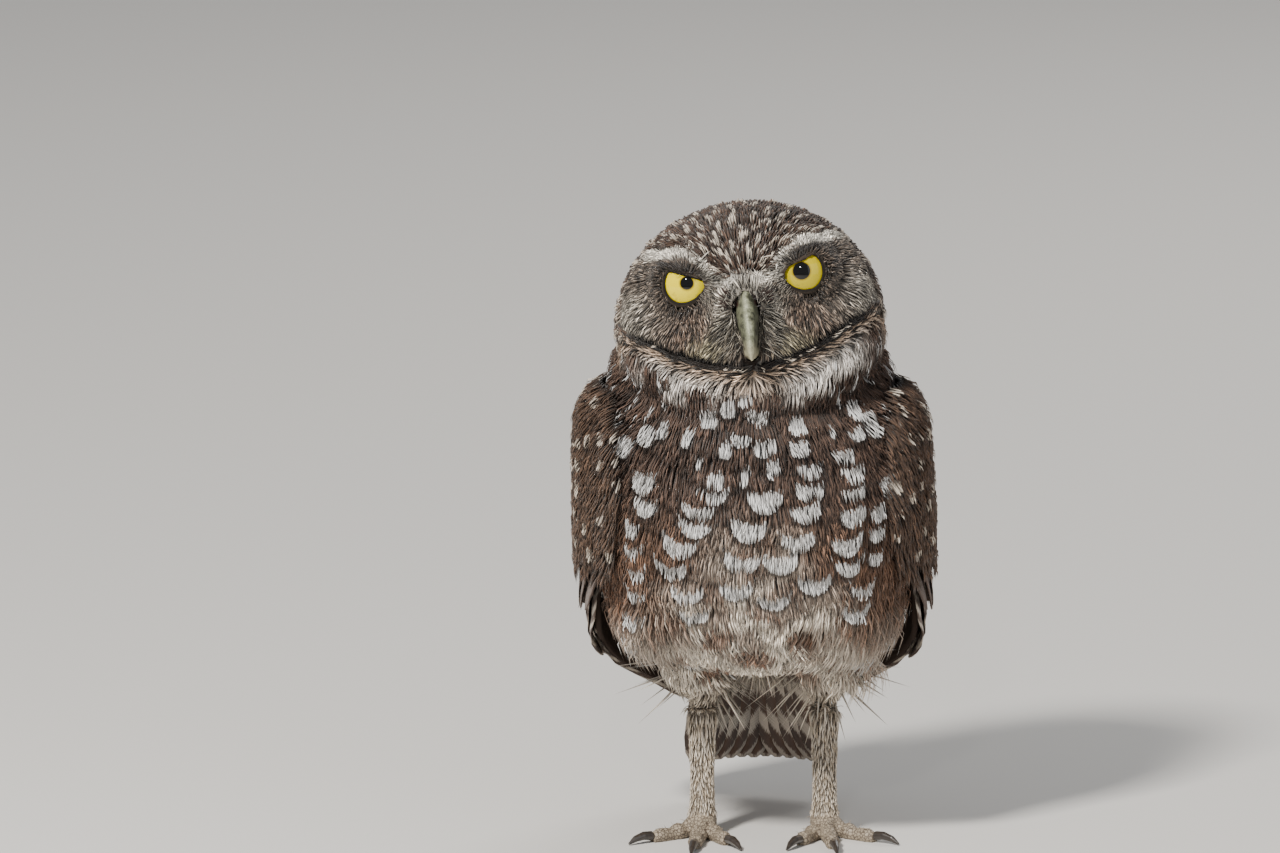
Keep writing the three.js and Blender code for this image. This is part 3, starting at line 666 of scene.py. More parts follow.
# %% Directions
def lie_of(place, normals):
    n = len(place.x)
    sign = np.where(place.hx < 0, -1.0, 1.0)
    flank = smooth(place.before_wing, 16, 2) * smooth(place.behind_wing, 4, -4)
    aft = 0.3 * smooth(place.y, -30, 20) + 0.5 * smooth(place.z, 70, 48) + 0.2 * flank
    down = np.stack([0.15 * place.x / 40 + sign * 0.35 * flank, aft, -np.ones(n)], -1)
    back = unit(place.head - BILL_ROOT) @ head_turn.T
    eye = np.stack([sign * EYE_X, np.full(n, EYE_Y - 8), np.full(n, EYE_Z)], -1)
    from_eye = unit((place.head - eye) * [1, 0.3, 1])
    from_bill = unit((place.head - BILL_FAN) * [1, 0.3, 1])
    eye_pull = 1 / np.maximum(place.to_eye - 4, 0.5)
    bill_pull = 1 / np.maximum(np.hypot(place.hx, (place.hz + 1) * 0.6) - 2, 0.5)
    share = (bill_pull / (bill_pull + eye_pull))[:, None]
    fan = unit(mix(from_eye, from_bill, smooth(share, 0.3, 0.7)) + np.array([0, 0, -0.12])) @ head_turn.T
    along_mouth = np.stack([sign * 1.0, np.full(n, 0.3), 0.35 * np.ones(n)], -1)
    away = np.stack([place.hx / 20, np.full(n, 0.1), -np.ones(n)], -1)
    chin = mix(along_mouth, away, smooth(place.under_mouth, 1.6, 4.2)[:, None]) @ head_turn.T
    crown = smooth(place.over_brow, -1, 2) * place.front
    rear = 1 - place.front
    over = unit(mix(back, np.array([0, 0.35, -1.0]), (rear * smooth(-place.hz, -20, 5))[:, None]))
    lie = mix(down, over, (place.on_head * np.maximum(crown, rear))[:, None])
    lie = mix(lie, chin, (place.on_head * place.front * smooth(place.under_mouth, -0.6, 0.4))[:, None])
    lie = mix(lie, fan, place.face[:, None])
    return along_surface(lie, normals)


# %% [markdown]
# ### Pigments by place
# The base colour of each place, before spots and bars. The face is grey-brown with white brows, a greenish
# wash at the gape and a dark line under the cheeks. Below it lie the buff chin and the white throat band.

# %% Pigments
DARK_BROWN = pigment(80, 62, 52)
WARM_BROWN = pigment(108, 81, 64)
MANTLE_BROWN = pigment(86, 67, 54)
CROWN_BROWN = pigment(76, 58, 47)
GREY_BROWN = pigment(112, 100, 89)
PALE_GREY = pigment(178, 172, 160)
BROW_WHITE = pigment(226, 219, 206)
LINE_DARK = pigment(26, 20, 16)
THROAT_WHITE = pigment(236, 229, 221)
CHIN_BUFF = pigment(196, 170, 146)
GAPE_GREEN = pigment(146, 138, 112)
SPOT_WHITE = pigment(233, 232, 230)
STREAK_BUFF = pigment(222, 209, 192)
BELLY_BUFF = pigment(238, 227, 211)
CHESTNUT = pigment(112, 74, 50)
LEG_BUFF = pigment(196, 178, 154)
BILL_SIDE_GREY = pigment(86, 80, 68)
UNDER_EYE_BROWN = pigment(58, 48, 40)


def tint_of(place):
    n, under, wide = len(place.x), place.under_mouth, np.abs(place.hx)

    def over(colour, second, share):
        return mix(colour, second, np.clip(share, 0, 1)[:, None])

    back = smooth(place.y, 0, 18)
    tint = over(np.tile(DARK_BROWN, (n, 1)), WARM_BROWN, smooth(place.z, 104, 82))
    tint = over(tint, MANTLE_BROWN, back)
    waves = place.x * 0.33 + 2.2 * np.sin(place.z * 0.21)
    patchy = 0.5 + 0.5 * np.sin(waves) * np.sin(place.z * 0.45 + 0.8)
    belly = smooth(place.z, 84, 64) * (1 - back) * smooth(np.abs(place.x - 1), 34, 16)
    patchy = smooth(patchy, 0.25, 0.6)
    middle = smooth(place.z, 102, 80) * (1 - back) * smooth(np.abs(place.x - 1), 20, 6)
    tint = over(tint, BELLY_BUFF, middle * (0.08 + 0.35 * patchy))
    ruff_right = smooth(under, 3, 5) * smooth(under, 10, 7.6) * smooth(place.hx, 6, 13)
    ruff_left = smooth(under, 3, 5) * smooth(under, 10.5, 8) * smooth(-place.hx, 8, 13)
    ruff_left = ruff_left * smooth(np.sin(place.hx * 0.62 + 1.2), -0.1, 0.6)
    ruff = (ruff_right + 0.75 * ruff_left) * smooth(place.hy, 4, -8) * smooth(wide, 31, 25)
    tint = over(tint, THROAT_WHITE, ruff)
    tint = over(tint, BELLY_BUFF, belly * (0.25 + 0.75 * patchy))
    tint = over(tint, BELLY_BUFF, smooth(place.z, 60, 48) * (0.5 + 0.5 * patchy))
    rusty = np.sin(place.x * 0.27 + 0.9) * np.sin(place.z * 0.42 + 2.0 + 0.1 * np.abs(place.x))
    rusty = smooth(rusty, 0.22, 0.5) * smooth(place.z, 80, 70) * smooth(place.z, 42, 48)
    rusty = rusty * (1 - back) * smooth(np.abs(place.x), 36, 28)
    tint = over(tint, CHESTNUT, rusty * 0.85)
    head = over(np.tile(CROWN_BROWN, (n, 1)), GREY_BROWN, place.face)
    bill_far = np.hypot(place.hx / 1.1, (place.hz - 7) * 0.8)
    head = over(head, PALE_GREY, smooth(bill_far, 10, 5) * place.face * 0.8)
    gape = smooth(np.hypot(wide - 11, (place.hz + 4) * 1.4), 8, 3)
    head = over(head, GAPE_GREEN, gape * place.face * 0.8)
    beside_bill = smooth(np.hypot(wide - 6, place.hz * 0.7), 4.5, 2)
    head = over(head, BILL_SIDE_GREY, beside_bill * place.face * 0.7)
    cheek = smooth(wide, 21, 29) * smooth(np.abs(place.hz - 4), 11, 4)
    head = over(head, PALE_GREY, cheek * place.face * 0.7)
    under_eye = smooth(place.to_eye, 9.6, 7.0)
    head = over(head, UNDER_EYE_BROWN, under_eye * place.face * 0.6)
    brow_band = smooth(place.to_brow, 1.7, 0.9) * place.front
    head = over(head, BROW_WHITE, brow_band * smooth(wide, 27, 22))
    chin = smooth(under, 0.5, 1.8) * smooth(place.hy, 4, -8) * smooth(under, 9, 6)
    head = over(head, CHIN_BUFF, chin)
    band = smooth(under, 2.2, 4.0) * smooth(place.hy, 0, -10) * smooth(under, 9, 6.5)
    side_band = 0.35 + 0.65 * smooth(wide, 3, 10)
    head = over(head, THROAT_WHITE, band * side_band)
    line = smooth(np.abs(under + 0.1), 2.3, 1.4) * smooth(wide, 33, 26) * place.front
    head = over(head, LINE_DARK, line)
    return over(tint, head, place.on_head)

# %% [markdown]
# ### Where feathers are rooted
# Roots are drawn at random over the skin and then thinned, so that no two stand closer than a set
# distance. Real feathers stand in such even tracts.

# %% Scatter roots over the skin
TRIES = 3  # roots drawn for each one that could be kept


def scatter(spacing, seed, keep, points=skin_points, normals=skin_normals, quads=body_quads):
    """Roots and normals spread over a skin, at least spacing mm apart, where keep(place) is true."""
    rng = np.random.default_rng(seed)
    corners = np.concatenate([quads[:, [0, 1, 2]], quads[:, [0, 2, 3]]])
    corners = corners[keep(Place(points[corners].mean(1)))]
    a, b, c = (points[corners[:, i]] for i in range(3))
    area = np.linalg.norm(np.cross(b - a, c - a), axis=1) / 2
    count = int(TRIES * area.sum() / spacing**2)
    chosen = rng.choice(len(area), count, p=area / area.sum())
    r1, r2 = np.sqrt(rng.random((count, 1))), rng.random((count, 1))
    share = np.concatenate([1 - r1, r1 * (1 - r2), r1 * r2], 1)
    spots = np.einsum("nk,nkd->nd", share, points[corners[chosen]])
    facing = unit(np.einsum("nk,nkd->nd", share, normals[corners[chosen]]))
    cells, kept, limit = {}, [], spacing**2
    near = [(i, j, k) for i in (-1, 0, 1) for j in (-1, 0, 1) for k in (-1, 0, 1)]
    at = np.floor(spots / spacing).astype(int).tolist()
    for index, ((i, j, k), (x, y, z)) in enumerate(zip(at, spots.tolist())):
        close = any(
            (x - ox) ** 2 + (y - oy) ** 2 + (z - oz) ** 2 < limit
            for di, dj, dk in near
            for ox, oy, oz in cells.get((i + di, j + dj, k + dk), ())
        )
        if not close:
            cells.setdefault((i, j, k), []).append((x, y, z))
            kept.append(index)
    return spots[kept], facing[kept]

# %% [markdown]
# ## The pale marks
# Spots, bars and streaks are written as a list of places, each with a length along the feathers, a width
# across them and how much its ends curve up. Every barb is told which mark its outer half lies in, and
# where, so one mark runs over many barbs and still has a crisp, slightly frayed edge.

# %% Marks and places in them
def marks_at(centres, axes, normals, half_long, half_wide, arc=0.0):
    n = len(centres)
    spread = {k: np.broadcast_to(v, n) for k, v in (("long", half_long), ("wide", half_wide), ("arc", arc))}
    return {"centre": centres, "axis": axes, "across": np.cross(axes, normals), "normal": normals, **spread}


def join_marks(*groups):
    return {key: np.concatenate([g[key] for g in groups]) for key in groups[0]}


OUTSIDE = -3.0  # the depth of a barb that is in no mark
FAR_FROM_MARKS = [9.0, 9.0, 1.0]
MARK_REACH, MARK_DEPTH = 9, 13  # how far from its middle a mark reaches barbs, up or down and off the skin


def coordinates(marks, which, points):
    """Where points lie in a mark: along and across in shares of its half sizes, over the skin, half size.
    Where a mark has an arc, its ends curve up."""
    away = points - marks["centre"][which][..., None, :]
    along, beside, over = (np.sum(away * marks[key][which][..., None, :], -1)
                           for key in ("axis", "across", "normal"))
    long, wide, arc = (marks[key][which][..., None] for key in ("long", "wide", "arc"))
    return (along + arc * beside**2) / long, beside / wide, over, np.minimum(long, wide)


def places_in(marks, spines):
    """The mark that each barb's outer half lies deepest in, as the map of its points, and that depth."""
    best, chosen = np.full(len(spines), OUTSIDE), np.zeros(len(spines), int)
    outer = np.stack([mix(spines[:, 1], spines[:, 2], t) for t in (0, 0.25, 0.5, 0.75, 1)], 1)
    order = np.argsort(spines[:, 2, 2])
    heights = spines[order, 2, 2]
    for i, centre in enumerate(marks["centre"]):
        low, high = np.searchsorted(heights, [centre[2] - MARK_REACH, centre[2] + MARK_REACH])
        index = order[low:high]
        if len(index):
            along, beside, over, half = coordinates(marks, i, outer[index])
            reach = np.abs(along) ** MARK_SQUARENESS + np.abs(beside) ** MARK_SQUARENESS
            inside = (1 - reach ** (1 / MARK_SQUARENESS)) * half
            inside = np.where(np.abs(over) < MARK_DEPTH, inside, OUTSIDE).max(1)
            better = inside > best[index]
            best[index[better]], chosen[index[better]] = inside[better], i
    where = np.tile(np.array(FAR_FROM_MARKS), (*spines.shape[:2], 1))
    marked = best > OUTSIDE
    if marked.any():
        along, beside, _, half = coordinates(marks, chosen[marked], spines[marked])
        where[marked] = np.stack([along, beside, np.broadcast_to(half, along.shape)], -1)
    return where, best

# %% [markdown]
# ### Where the marks lie
# On the breast they are laid out one by one, as seen from in front: how far across, how high, how wide and
# how long. The upper ones are drops and the lower ones bars. On the back they stand in loose rows, and on
# the crown they are narrow drops that stream back from the bill.

# %% Lay out the marks
BREAST_SPOTS = (  # across, height as seen from in front, width, length along the feathers
    (-11.1, 109.4, 4.6, 4.4), (-6.1, 110.7, 4.1, 5), (-1.3, 112.6, 4.6, 4.1), (1.6, 109.2, 5.2, 4.6),
    (-2.4, 103.9, 5.2, 3.4), (-6.6, 101.2, 3.2, 5), (3.9, 101.2, 5.5, 4.6), (13.1, 107.5, 4.6, 5.4),
    (13.3, 101.4, 5, 4.4), (6.7, 96.1, 3.6, 5.2), (-1.3, 93.4, 1.8, 4.6), (-9.3, 92.5, 4.6, 5),
    (-16.6, 104.8, 2.9, 5.4), (-13.7, 97.8, 1.5, 3.2), (-27.4, 104.4, 5.4, 5.4), (-23, 106.4, 3.2, 4.8),
    (-32.6, 101.4, 4.6, 5.6), (-28, 92, 7.6, 5.6), (-28, 85.4, 7.4, 4.4), (29.2, 111, 5.2, 6),
    (32.6, 107.4, 4.4, 7), (29, 104.9, 4.6, 3.6), (25.4, 98.2, 6.4, 4.4), (28.1, 93.6, 7.4, 4.6),
    (28.1, 88.8, 7.6, 4), (37.3, 91.1, 6, 6.4), (15.8, 94.5, 6.4, 4.2), (15.8, 89.2, 7.2, 4.6),
    (15.4, 83.6, 7.6, 4.6), (4.4, 86.5, 8.6, 5.6), (-9.6, 88, 7.6, 3.6), (-13.4, 84, 9, 3.6),
    (-15.2, 80, 8.6, 3.6), (-0.6, 78.8, 9, 5), (28.1, 82.6, 8, 4.8), (25.9, 75.6, 10, 4.6),
    (26.8, 69.6, 9, 3.8), (12.6, 75.6, 9, 4.4), (8.5, 70.6, 9.6, 4.4), (-19.3, 74.6, 10, 4.8),
    (-2.6, 71, 9, 4.4), (-30.8, 73.2, 8, 3.8), (-21.2, 68.6, 10, 4.2), (-31.7, 79.4, 6, 4.4),
    (-29.8, 67.6, 9, 3.2), (-29.4, 62.6, 9, 3.2), (-28, 57.8, 9, 3.2), (-27, 53, 9, 3), (-3.4, 63, 8.6, 4),
    (-16, 62.4, 9, 3.4), (-14, 57, 8, 3.4), (17, 64.6, 9, 4), (29, 63.4, 9, 3.4), (27, 58, 9, 3.2),
    (6, 60, 8, 3.4), (34, 84.6, 6, 4.4), (34.4, 78.4, 6, 4), (34, 72, 6, 3.6), (-35.4, 88, 5, 4),
    (-36, 94.6, 4, 4.4),
)
rise_seen, run_seen = math.cos(CAMERA_RISE), math.sin(CAMERA_RISE)
shell = Place(body_points)
front_points = np.flatnonzero((body_normals @ np.array([0, -rise_seen, run_seen]) > 0.05) & (shell.z > 44))
seen = np.stack([shell.x, shell.z * rise_seen + shell.y * run_seen], -1)[front_points]


def breast_marks():
    rng = np.random.default_rng(17)
    rows = np.array(BREAST_SPOTS)
    away = [np.argmin(np.linalg.norm(seen - row[:2], axis=1)) for row in rows]
    picked = front_points[away]
    normals = body_normals[picked]
    lies = lie_of(Place(body_points[picked]), normals)
    lies = along_surface(lies + rng.normal(0, 0.08, lies.shape), normals)
    wide, long = rows[:, 2] * 0.52, rows[:, 3] * 0.5
    arc = 0.1 * smooth(wide, 1.5, 4.0)
    return marks_at(body_points[picked] - normals * 0.6, lies, normals, long, wide, arc)


def scattered_marks(seed, spacing, keep, half_long, half_wide, share=1.0, over=2.0, surface=()):
    rng = np.random.default_rng(seed)
    roots, normals = scatter(spacing, seed, keep, *surface)
    chosen = rng.random(len(roots)) < share
    roots, normals = roots[chosen], normals[chosen]
    lies = lie_of(Place(roots), normals)
    lies = along_surface(lies + rng.normal(0, 0.1, lies.shape), normals)
    vary = rng.normal(1, 0.18, len(roots)).clip(0.6, 1.5)
    return marks_at(roots + normals * over, lies, normals, half_long * vary, half_wide * vary, 0.03)


def hood(place):
    behind = (place.under_mouth < 0.5) | (place.hy > -6)
    return (place.on_head > 0.4) & (place.face < 0.35) & behind


drops = scattered_marks(31, 3.1, lambda p: hood(p) & (p.front > 0.1), 2.0, 0.55, 0.9, 1.6)
nape = scattered_marks(32, 4.4, lambda p: hood(p) & (p.front <= 0.1), 1.7, 0.9, 0.8, 1.6)
back_spots = scattered_marks(33, 8.2, lambda p: (p.on_head < 0.4) & (p.y >= 14), 1.7, 2.4, 0.8)
side_bars = scattered_marks(34, 6.4, lambda p: (p.on_head < 0.4) & (p.y < 14) & (p.y > -6) & (p.z < 90)
                            & (p.z > 46), 1.4, 3.2, 0.9)
neck_streaks = scattered_marks(35, 3.6, lambda p: (p.on_head < 0.6) & (p.z > 112) & (p.y < 8)
                               & (np.abs(p.x) > 20) & (p.under_mouth > 5), 1.6, 0.42, 0.55)
body_marks = join_marks(breast_marks(), back_spots, side_bars, neck_streaks)
head_marks = join_marks(drops, nape)
print("marks on the body:", len(body_marks["centre"]), "on the head:", len(head_marks["centre"]))

# %% [markdown]
# ### The skin's colours
# Where barbs part, the skin shows between them. It wears the colours of its place, darkened as painted shade
# of the deep gaps in the coat, so that no gap looks bare.

# %% The skin carries the same colours
skin_place = Place(skin_points)
above_skin = np.repeat((skin_points + skin_normals * 2.2)[:, None], 3, 1)
_, skin_depth = places_in(join_marks(body_marks, head_marks), above_skin)
# The colours of the place at about half strength: painted shade of the gaps deep in the coat.
skin_tint_painted_shade = mix(tint_of(skin_place) * 0.55, SPOT_WHITE * 0.5, smooth(skin_depth, 0.0, 0.8)[:, None])
add_piece("skin", skin_points, [body_quads], skin_material, BODY_NODES,
          colours={"tint": skin_tint_painted_shade})

# %% [markdown]
# ### One feather's form
# On a living owl the barbs of neighbouring feathers mesh into one silky surface, and mostly the pale marks
# show where a feather ends. So the coat is laid barb by barb: each is a fine closed blade that belongs to
# a feather, leans away from that feather's shaft, shares its tone and ends on its rounded end.

# %% Barbs that belong to feathers
MOST_BLADES = 18000
MIDDLE = 0.6  # how far along a blade its second ring lies
BLADE_UV = np.array([[0, 0], [0.5, 0], [1, 0], [0, MIDDLE], [0.5, MIDDLE], [1, MIDDLE], [0.5, 1]])
BLADE_RING = np.array([0, 0, 0, 1, 1, 1, 2])


def column(value, n):
    return np.broadcast_to(np.asarray(value, float), n)[:, None]


def blade_spine(roots, normals, lies, length, rise, bend):
    """Root, middle and tip of blades that leave the skin low and follow the body's curve."""
    mid = roots + lies * length * MIDDLE + normals * (rise * 0.9 - (length * MIDDLE) ** 2 / 2 / bend)
    tip = roots + lies * length + normals * (rise - length**2 / 2 / bend)
    return np.stack([roots, mid, tip], 1)


def blade_part(spine, normals, across, width, tint, pale, where, rng):
    """Closed blades of seven points on their spines, with their colours and their places in the marks."""
    n = len(spine)
    half = width / 2
    rings = [spine[:, i] + step for i in (0, 1)
             for step in (-across * half, normals * half * 0.7, across * half)]
    return {"points": np.stack([*rings, spine[:, 2]], 1), "uv": np.tile(BLADE_UV, (n, 1, 1)),
            "place": unwrap(spine[:, 0]), "tint": tint, "pale": pale, "pattern": where[:, BLADE_RING],
            "chance": rng.random(n)}


def add_blades(name, part):
    """Blades as pieces of at most MOST_BLADES each, split from the bird's right to its left."""
    order = np.argsort(part["points"][:, 0, 0])
    groups = np.array_split(order, -(-len(order) // MOST_BLADES))
    for i, chosen in enumerate(groups):
        chunk = {key: value[chosen] for key, value in part.items()}
        title = f"{name}_{i + 1}" if len(groups) > 1 else name
        feather_piece(title, [{**chunk, "faces": blade_faces(len(chosen))}], tuft_material)


def nearest(points, targets):
    tree = KDTree(len(targets))
    for i, target in enumerate(targets):
        tree.insert(target, i)
    tree.balance()
    return np.array([tree.find(point)[1] for point in points])


BARB_TONES, TONE_SHARES = [0.6, 1.0, 1.35, 2.1], [0.22, 0.44, 0.24, 0.1]


def coat(name, seed, spacing, feather_spacing, keep, size, marks, dress=None, sway=0.09, splay=0.06,
         bend=45.0, even=0.6, contrast=0.17, surface=(), heading=lie_of):
    """A tract of barbs. size(place) gives their length, width and rise, and dress may recolour them. They
    follow a curve of bend mm, splay off the shaft and sway from feather to feather. With even at 1 they end
    on the feather's rounded end. The surface is the body's skin, or other points, normals and faces."""
    rng = np.random.default_rng(seed + 100)
    roots, normals = scatter(spacing, seed, keep, *surface)
    feathers, _ = scatter(feather_spacing, seed + 50, keep, *surface)
    owner = nearest(roots, feathers)
    n, place = len(roots), Place(roots)
    lies = heading(place, normals)
    across = np.cross(lies, normals)
    offset = roots - feathers[owner]
    beside, before = np.sum(offset * across, -1), np.sum(offset * lies, -1)
    lean = rng.normal(0, sway, len(feathers))[owner] + splay * beside + rng.normal(0, 0.06, n)
    lies = along_surface(lies + across * lean[:, None], normals)
    length, width, rise = size(place)
    length = length - even * (before + 0.12 * beside**2) + rng.normal(0, 0.06, n) * length
    length = np.maximum(length, 1.2)[:, None]
    rise = column(rise * rng.normal(1, 0.1, n), n)
    spine = blade_spine(roots, normals, lies, length, rise, bend)
    over = spine.copy()
    over[:, 0] += normals * rise
    where, depth = places_in(marks, over)
    raised = 0.45 * smooth(depth, -0.5, 0.8)
    spine[:, 1:] += normals[:, None] * raised[:, None, None]
    tone = rng.normal(1, 0.13, len(feathers))[owner] * rng.normal(1, contrast, n).clip(0.45, 1.6)
    tone = tone * rng.choice(BARB_TONES, n, p=TONE_SHARES)
    tint = tint_of(place) * tone[:, None]
    pale = SPOT_WHITE * (0.55 + 0.45 * tone[:, None].clip(0.6, 1.2))
    if dress:
        tint, pale = dress(place, tint, pale, rng)
    width = column(width * rng.normal(1, 0.15, n).clip(0.6, 1.5), n)
    across = np.cross(lies, normals)
    add_blades(name, blade_part(spine, normals, across, width, tint, pale, where, rng))

# %% [markdown]
# ## Body feathers
# On the upper breast the feathers are plain dark brown with few white spots. Lower down, warm brown and
# buff feathers end in wide white bars, and the flanks are barred out to the wing's edge. Feathers beside
# the wing stand up a little and cover its front edge.

# %% Dress the breast and the back
UNDER_EDGE = -5.0  # how far under the wing's edge the body is feathered, in mm


def on_body(place):
    hidden = (place.before_wing < UNDER_EDGE) & (place.behind_wing < UNDER_EDGE) & (place.wing_height > 0.5)
    return (place.on_head < 0.5) & (place.z > 44) & ~hidden


def edge_rise(place):
    """Feathers beside the wing stand up over its edge."""
    low = smooth(place.z, 84, 62) * smooth(np.abs(place.x - 1.5), 14, 26)
    return 2.4 * smooth(np.abs(place.before_wing), 11, 2) * place.wing_height + 2.6 * low


def breast_size(place):
    young = smooth(place.z, 124, 106)
    return mix(6.4, 8.6, young), mix(0.36, 0.42, young), 2.5 + edge_rise(place)


def mantle_size(place):
    return 8.6, 0.5, 2.5 + edge_rise(place)


coat("upper_breast", 3, 0.56, 5.0, lambda p: on_body(p) & (p.y < 10) & (p.z > 92), breast_size, body_marks)
coat("lower_breast", 4, 0.58, 5.4, lambda p: on_body(p) & (p.y < 10) & (p.z <= 92), breast_size, body_marks,
     sway=0.12)
coat("mantle", 5, 0.72, 6.4, lambda p: on_body(p) & (p.y >= 10), mantle_size, body_marks)

# %% [markdown]
# ### Flank plumes
# The longest body feathers hang from the flanks. They are loose, and close the gap between the belly and
# the wing.

# %% Loose plumes on the flanks
def on_flank(place):
    outer = (np.abs(place.x - 1.5) > 16) & (place.before_wing > -18)
    return outer & (place.z > 46) & (place.z < 78) & (place.y < 16)


def flank_size(place):
    out = smooth(np.abs(place.x - 1.5), 17, 28)
    return mix(9.0, 13.5, out), 0.46, mix(3.4, 8.6, out * smooth(place.z, 78, 66))


def flank_dress(place, tint, pale, rng):
    buff = BELLY_BUFF * rng.normal(0.9, 0.15, (len(tint), 1))
    return mix(tint, buff, 0.45 * smooth(place.z, 74, 58)[:, None]), pale


coat("flanks", 7, 0.8, 5.0, on_flank, flank_size, body_marks, flank_dress, sway=0.16, bend=120.0, even=0.4)

# %% [markdown]
# ### Rump
# Long plumes run from the lower back over the tail's root and narrow the space between the two folded
# wings. They end above the wing tips, so a slit stays open there.

# %% Long plumes over the tail's root
PLUME_HOLD = 0.4  # how closely the plumes are held to the skin, where 1 lays them along it


def on_rump(place):
    return (np.abs(place.x - 2) < 22) & (place.z > 47) & (place.z < 80) & (place.y > 12)


def rump_size(place):
    low = smooth(place.z, 76, 54)
    return mix(12.0, 26.0, low), mix(0.5, 0.7, low), mix(2.6, 3.4, low)


def toward_tail(place, normals):
    side = np.clip((place.x - 2) / 60, -0.3, 0.3)
    aft, down = np.full_like(side, 0.5), np.full_like(side, -0.87)
    return along_surface(np.stack([side, aft, down], -1), normals * PLUME_HOLD)


coat("rump", 8, 0.8, 5.4, on_rump, rump_size, body_marks, sway=0.08, bend=900.0, even=0.9,
     heading=toward_tail)

# %% [markdown]
# ## Crown, nape and head sides
# Crown feathers are small and narrow, and each wears a pale drop along its shaft. The drops stand in rows
# that stream back from the bill.

# %% Dress the head behind the face
def crown_size(place):
    back = smooth(place.hy, -22, 10)
    return mix(3.6, 5.2, back), mix(0.34, 0.42, back), 1.7


def crown_dress(place, tint, pale, rng):
    return tint, STREAK_BUFF * rng.normal(1, 0.12, (len(tint), 1)).clip(0.6, 1.2)


coat("crown", 6, 0.52, 3.4, hood, crown_size, head_marks, crown_dress, bend=32.0, sway=0.06, splay=0.03,
     contrast=0.24)

# %% [markdown]
# ## The face
# The feathers of the facial disc are stiff and hairlike, and fan out from the eyes. They stand right up to
# the lids, and between the lid and the white brow runs a thin dark line, partly dark feathers and partly
# painted shadow under the brow. Near the bill they turn into a grey-green fringe that partly hides the bill's
# flanks.

# %% Dress the face
# Name, side, pupil across in mm, painted light of the iris (the eye in shade is painted darker), and how high
# over the pupil the upper lid crosses
EYES = (("left", 1, 4.5, 0.46, 3.5), ("right", -1, 3.5, 0.72, 2.2))
LID_SLOPE, BALL = math.tan(math.radians(21)), 8.2
BILL_KEEP_OUT = 2.7


def over_lid(place):
    """How far above the upper lid's edge a place lies, in mm."""
    lid = np.where(place.hx > 0, EYES[0][4], EYES[1][4])
    return place.hz - EYE_Z - LID_SLOPE * (np.abs(place.hx) - EYE_X) - lid


def on_face(place):
    clear_of_bill = (np.abs(place.hx) > BILL_KEEP_OUT) | (place.hz > 8.5) | (place.hz < -9.5)
    clear_of_eye = (place.to_eye > 6.2) | (over_lid(place) > 0.5)
    return (place.face > 0.1) & (place.under_mouth < -1.0) & clear_of_eye & clear_of_bill


def face_size(place):
    short = smooth(place.to_eye, 12, 6.5)
    low = smooth(place.under_mouth, -5.0, -1.0)
    length = mix(mix(3.9, 2.4, short), 1.9, low)
    return length, 0.32, mix(1.15, 0.8, short)


NOSTRIL_RED = pigment(44, 22, 16)


def by_nostril(place):
    """Close to the nostrils, on either side of the bill's root."""
    return smooth(np.hypot(np.abs(place.hx) - 3.5, (place.hz - 6.6) * 0.75), 1.9, 1.0)[:, None]


def face_dress(place, tint, pale, rng):
    shade = rng.choice([0.25, 0.7, 1.2, 2.1], (len(tint), 1), p=[0.27, 0.31, 0.25, 0.17])
    warm = smooth(np.hypot(np.abs(place.hx) - 15, (place.hz - 1) * 1.2), 7, 3)[:, None]
    tint = mix(tint, WARM_BROWN, 0.4 * warm)
    brow = smooth(place.to_brow, 2.4, 1.2)[:, None]
    tint = tint * mix(shade, 1.0, 0.6 * brow)
    # A dark line just over the upper lid: partly dark feathers, partly painted shadow under the brow.
    lid_line_and_shadow = smooth(np.abs(over_lid(place) - 0.7), 1.3, 0.5) * smooth(place.to_eye, 9, 7)
    tint = mix(tint, LINE_DARK, lid_line_and_shadow[:, None] * 0.85)
    return mix(tint, NOSTRIL_RED, by_nostril(place)), pale


NO_MARKS = {key: value[:0] for key, value in head_marks.items()}
coat("face", 9, 0.46, 2.0, on_face, face_size, NO_MARKS, face_dress, bend=30.0, sway=0.2, splay=0.05,
     even=0.2, contrast=0.2)

# %% [markdown]
# ### The fringe of the lids
# Between the bare rim of the lid and the face stand the shortest feathers of the bird. Without them a ring
# of skin would show round each eye.

# %% Short barbs round the lids
def by_lid(place):
    outside = (place.to_eye > 5.5) | (over_lid(place) > -0.2)
    return (place.face > 0.1) & (place.to_eye < 9.5) & outside


def fringe_size(place):
    return 1.7, 0.26, 0.85


def fringe_dress(place, tint, pale, rng):
    tint, pale = face_dress(place, tint, pale, rng)
    inner = smooth(np.abs(place.hx), 12, 9)[:, None]
    return mix(tint, PALE_GREY * rng.choice([0.4, 0.9, 1.2], (len(tint), 1)), inner * 0.5), pale


def under_lid(place):
    return (place.face > 0.1) & (place.to_eye > 5.9) & (place.to_eye < 7.7) & (over_lid(place) < -0.8)


coat("lid_fringe", 11, 0.36, 2.0, by_lid, fringe_size, NO_MARKS, fringe_dress, bend=30.0, sway=0.15,
     even=0.1, contrast=0.2)
coat("lid_lashes", 13, 0.42, 2.0, under_lid, lambda place: (1.4, 0.24, 1.0), NO_MARKS, fringe_dress,
     bend=30.0, sway=0.3, even=0.1, heading=lambda place, normals: -lie_of(place, normals))

# %% [markdown]
# ### Chin and throat
# A dark line with layered buff streaks runs under the cheeks, like a mouth. Below it the throat band is
# white, and it stands out over the breast as a soft ruff.

# %% The chin and the throat band
def on_chin(place):
    return (place.on_head > 0.3) & (place.under_mouth > 0.2) & (place.hy < 0)


def chin_size(place):
    low = smooth(place.under_mouth, 1.5, 4)
    return mix(3.8, 6.6, low), mix(0.44, 0.34, low), mix(1.3, 2.3, low)


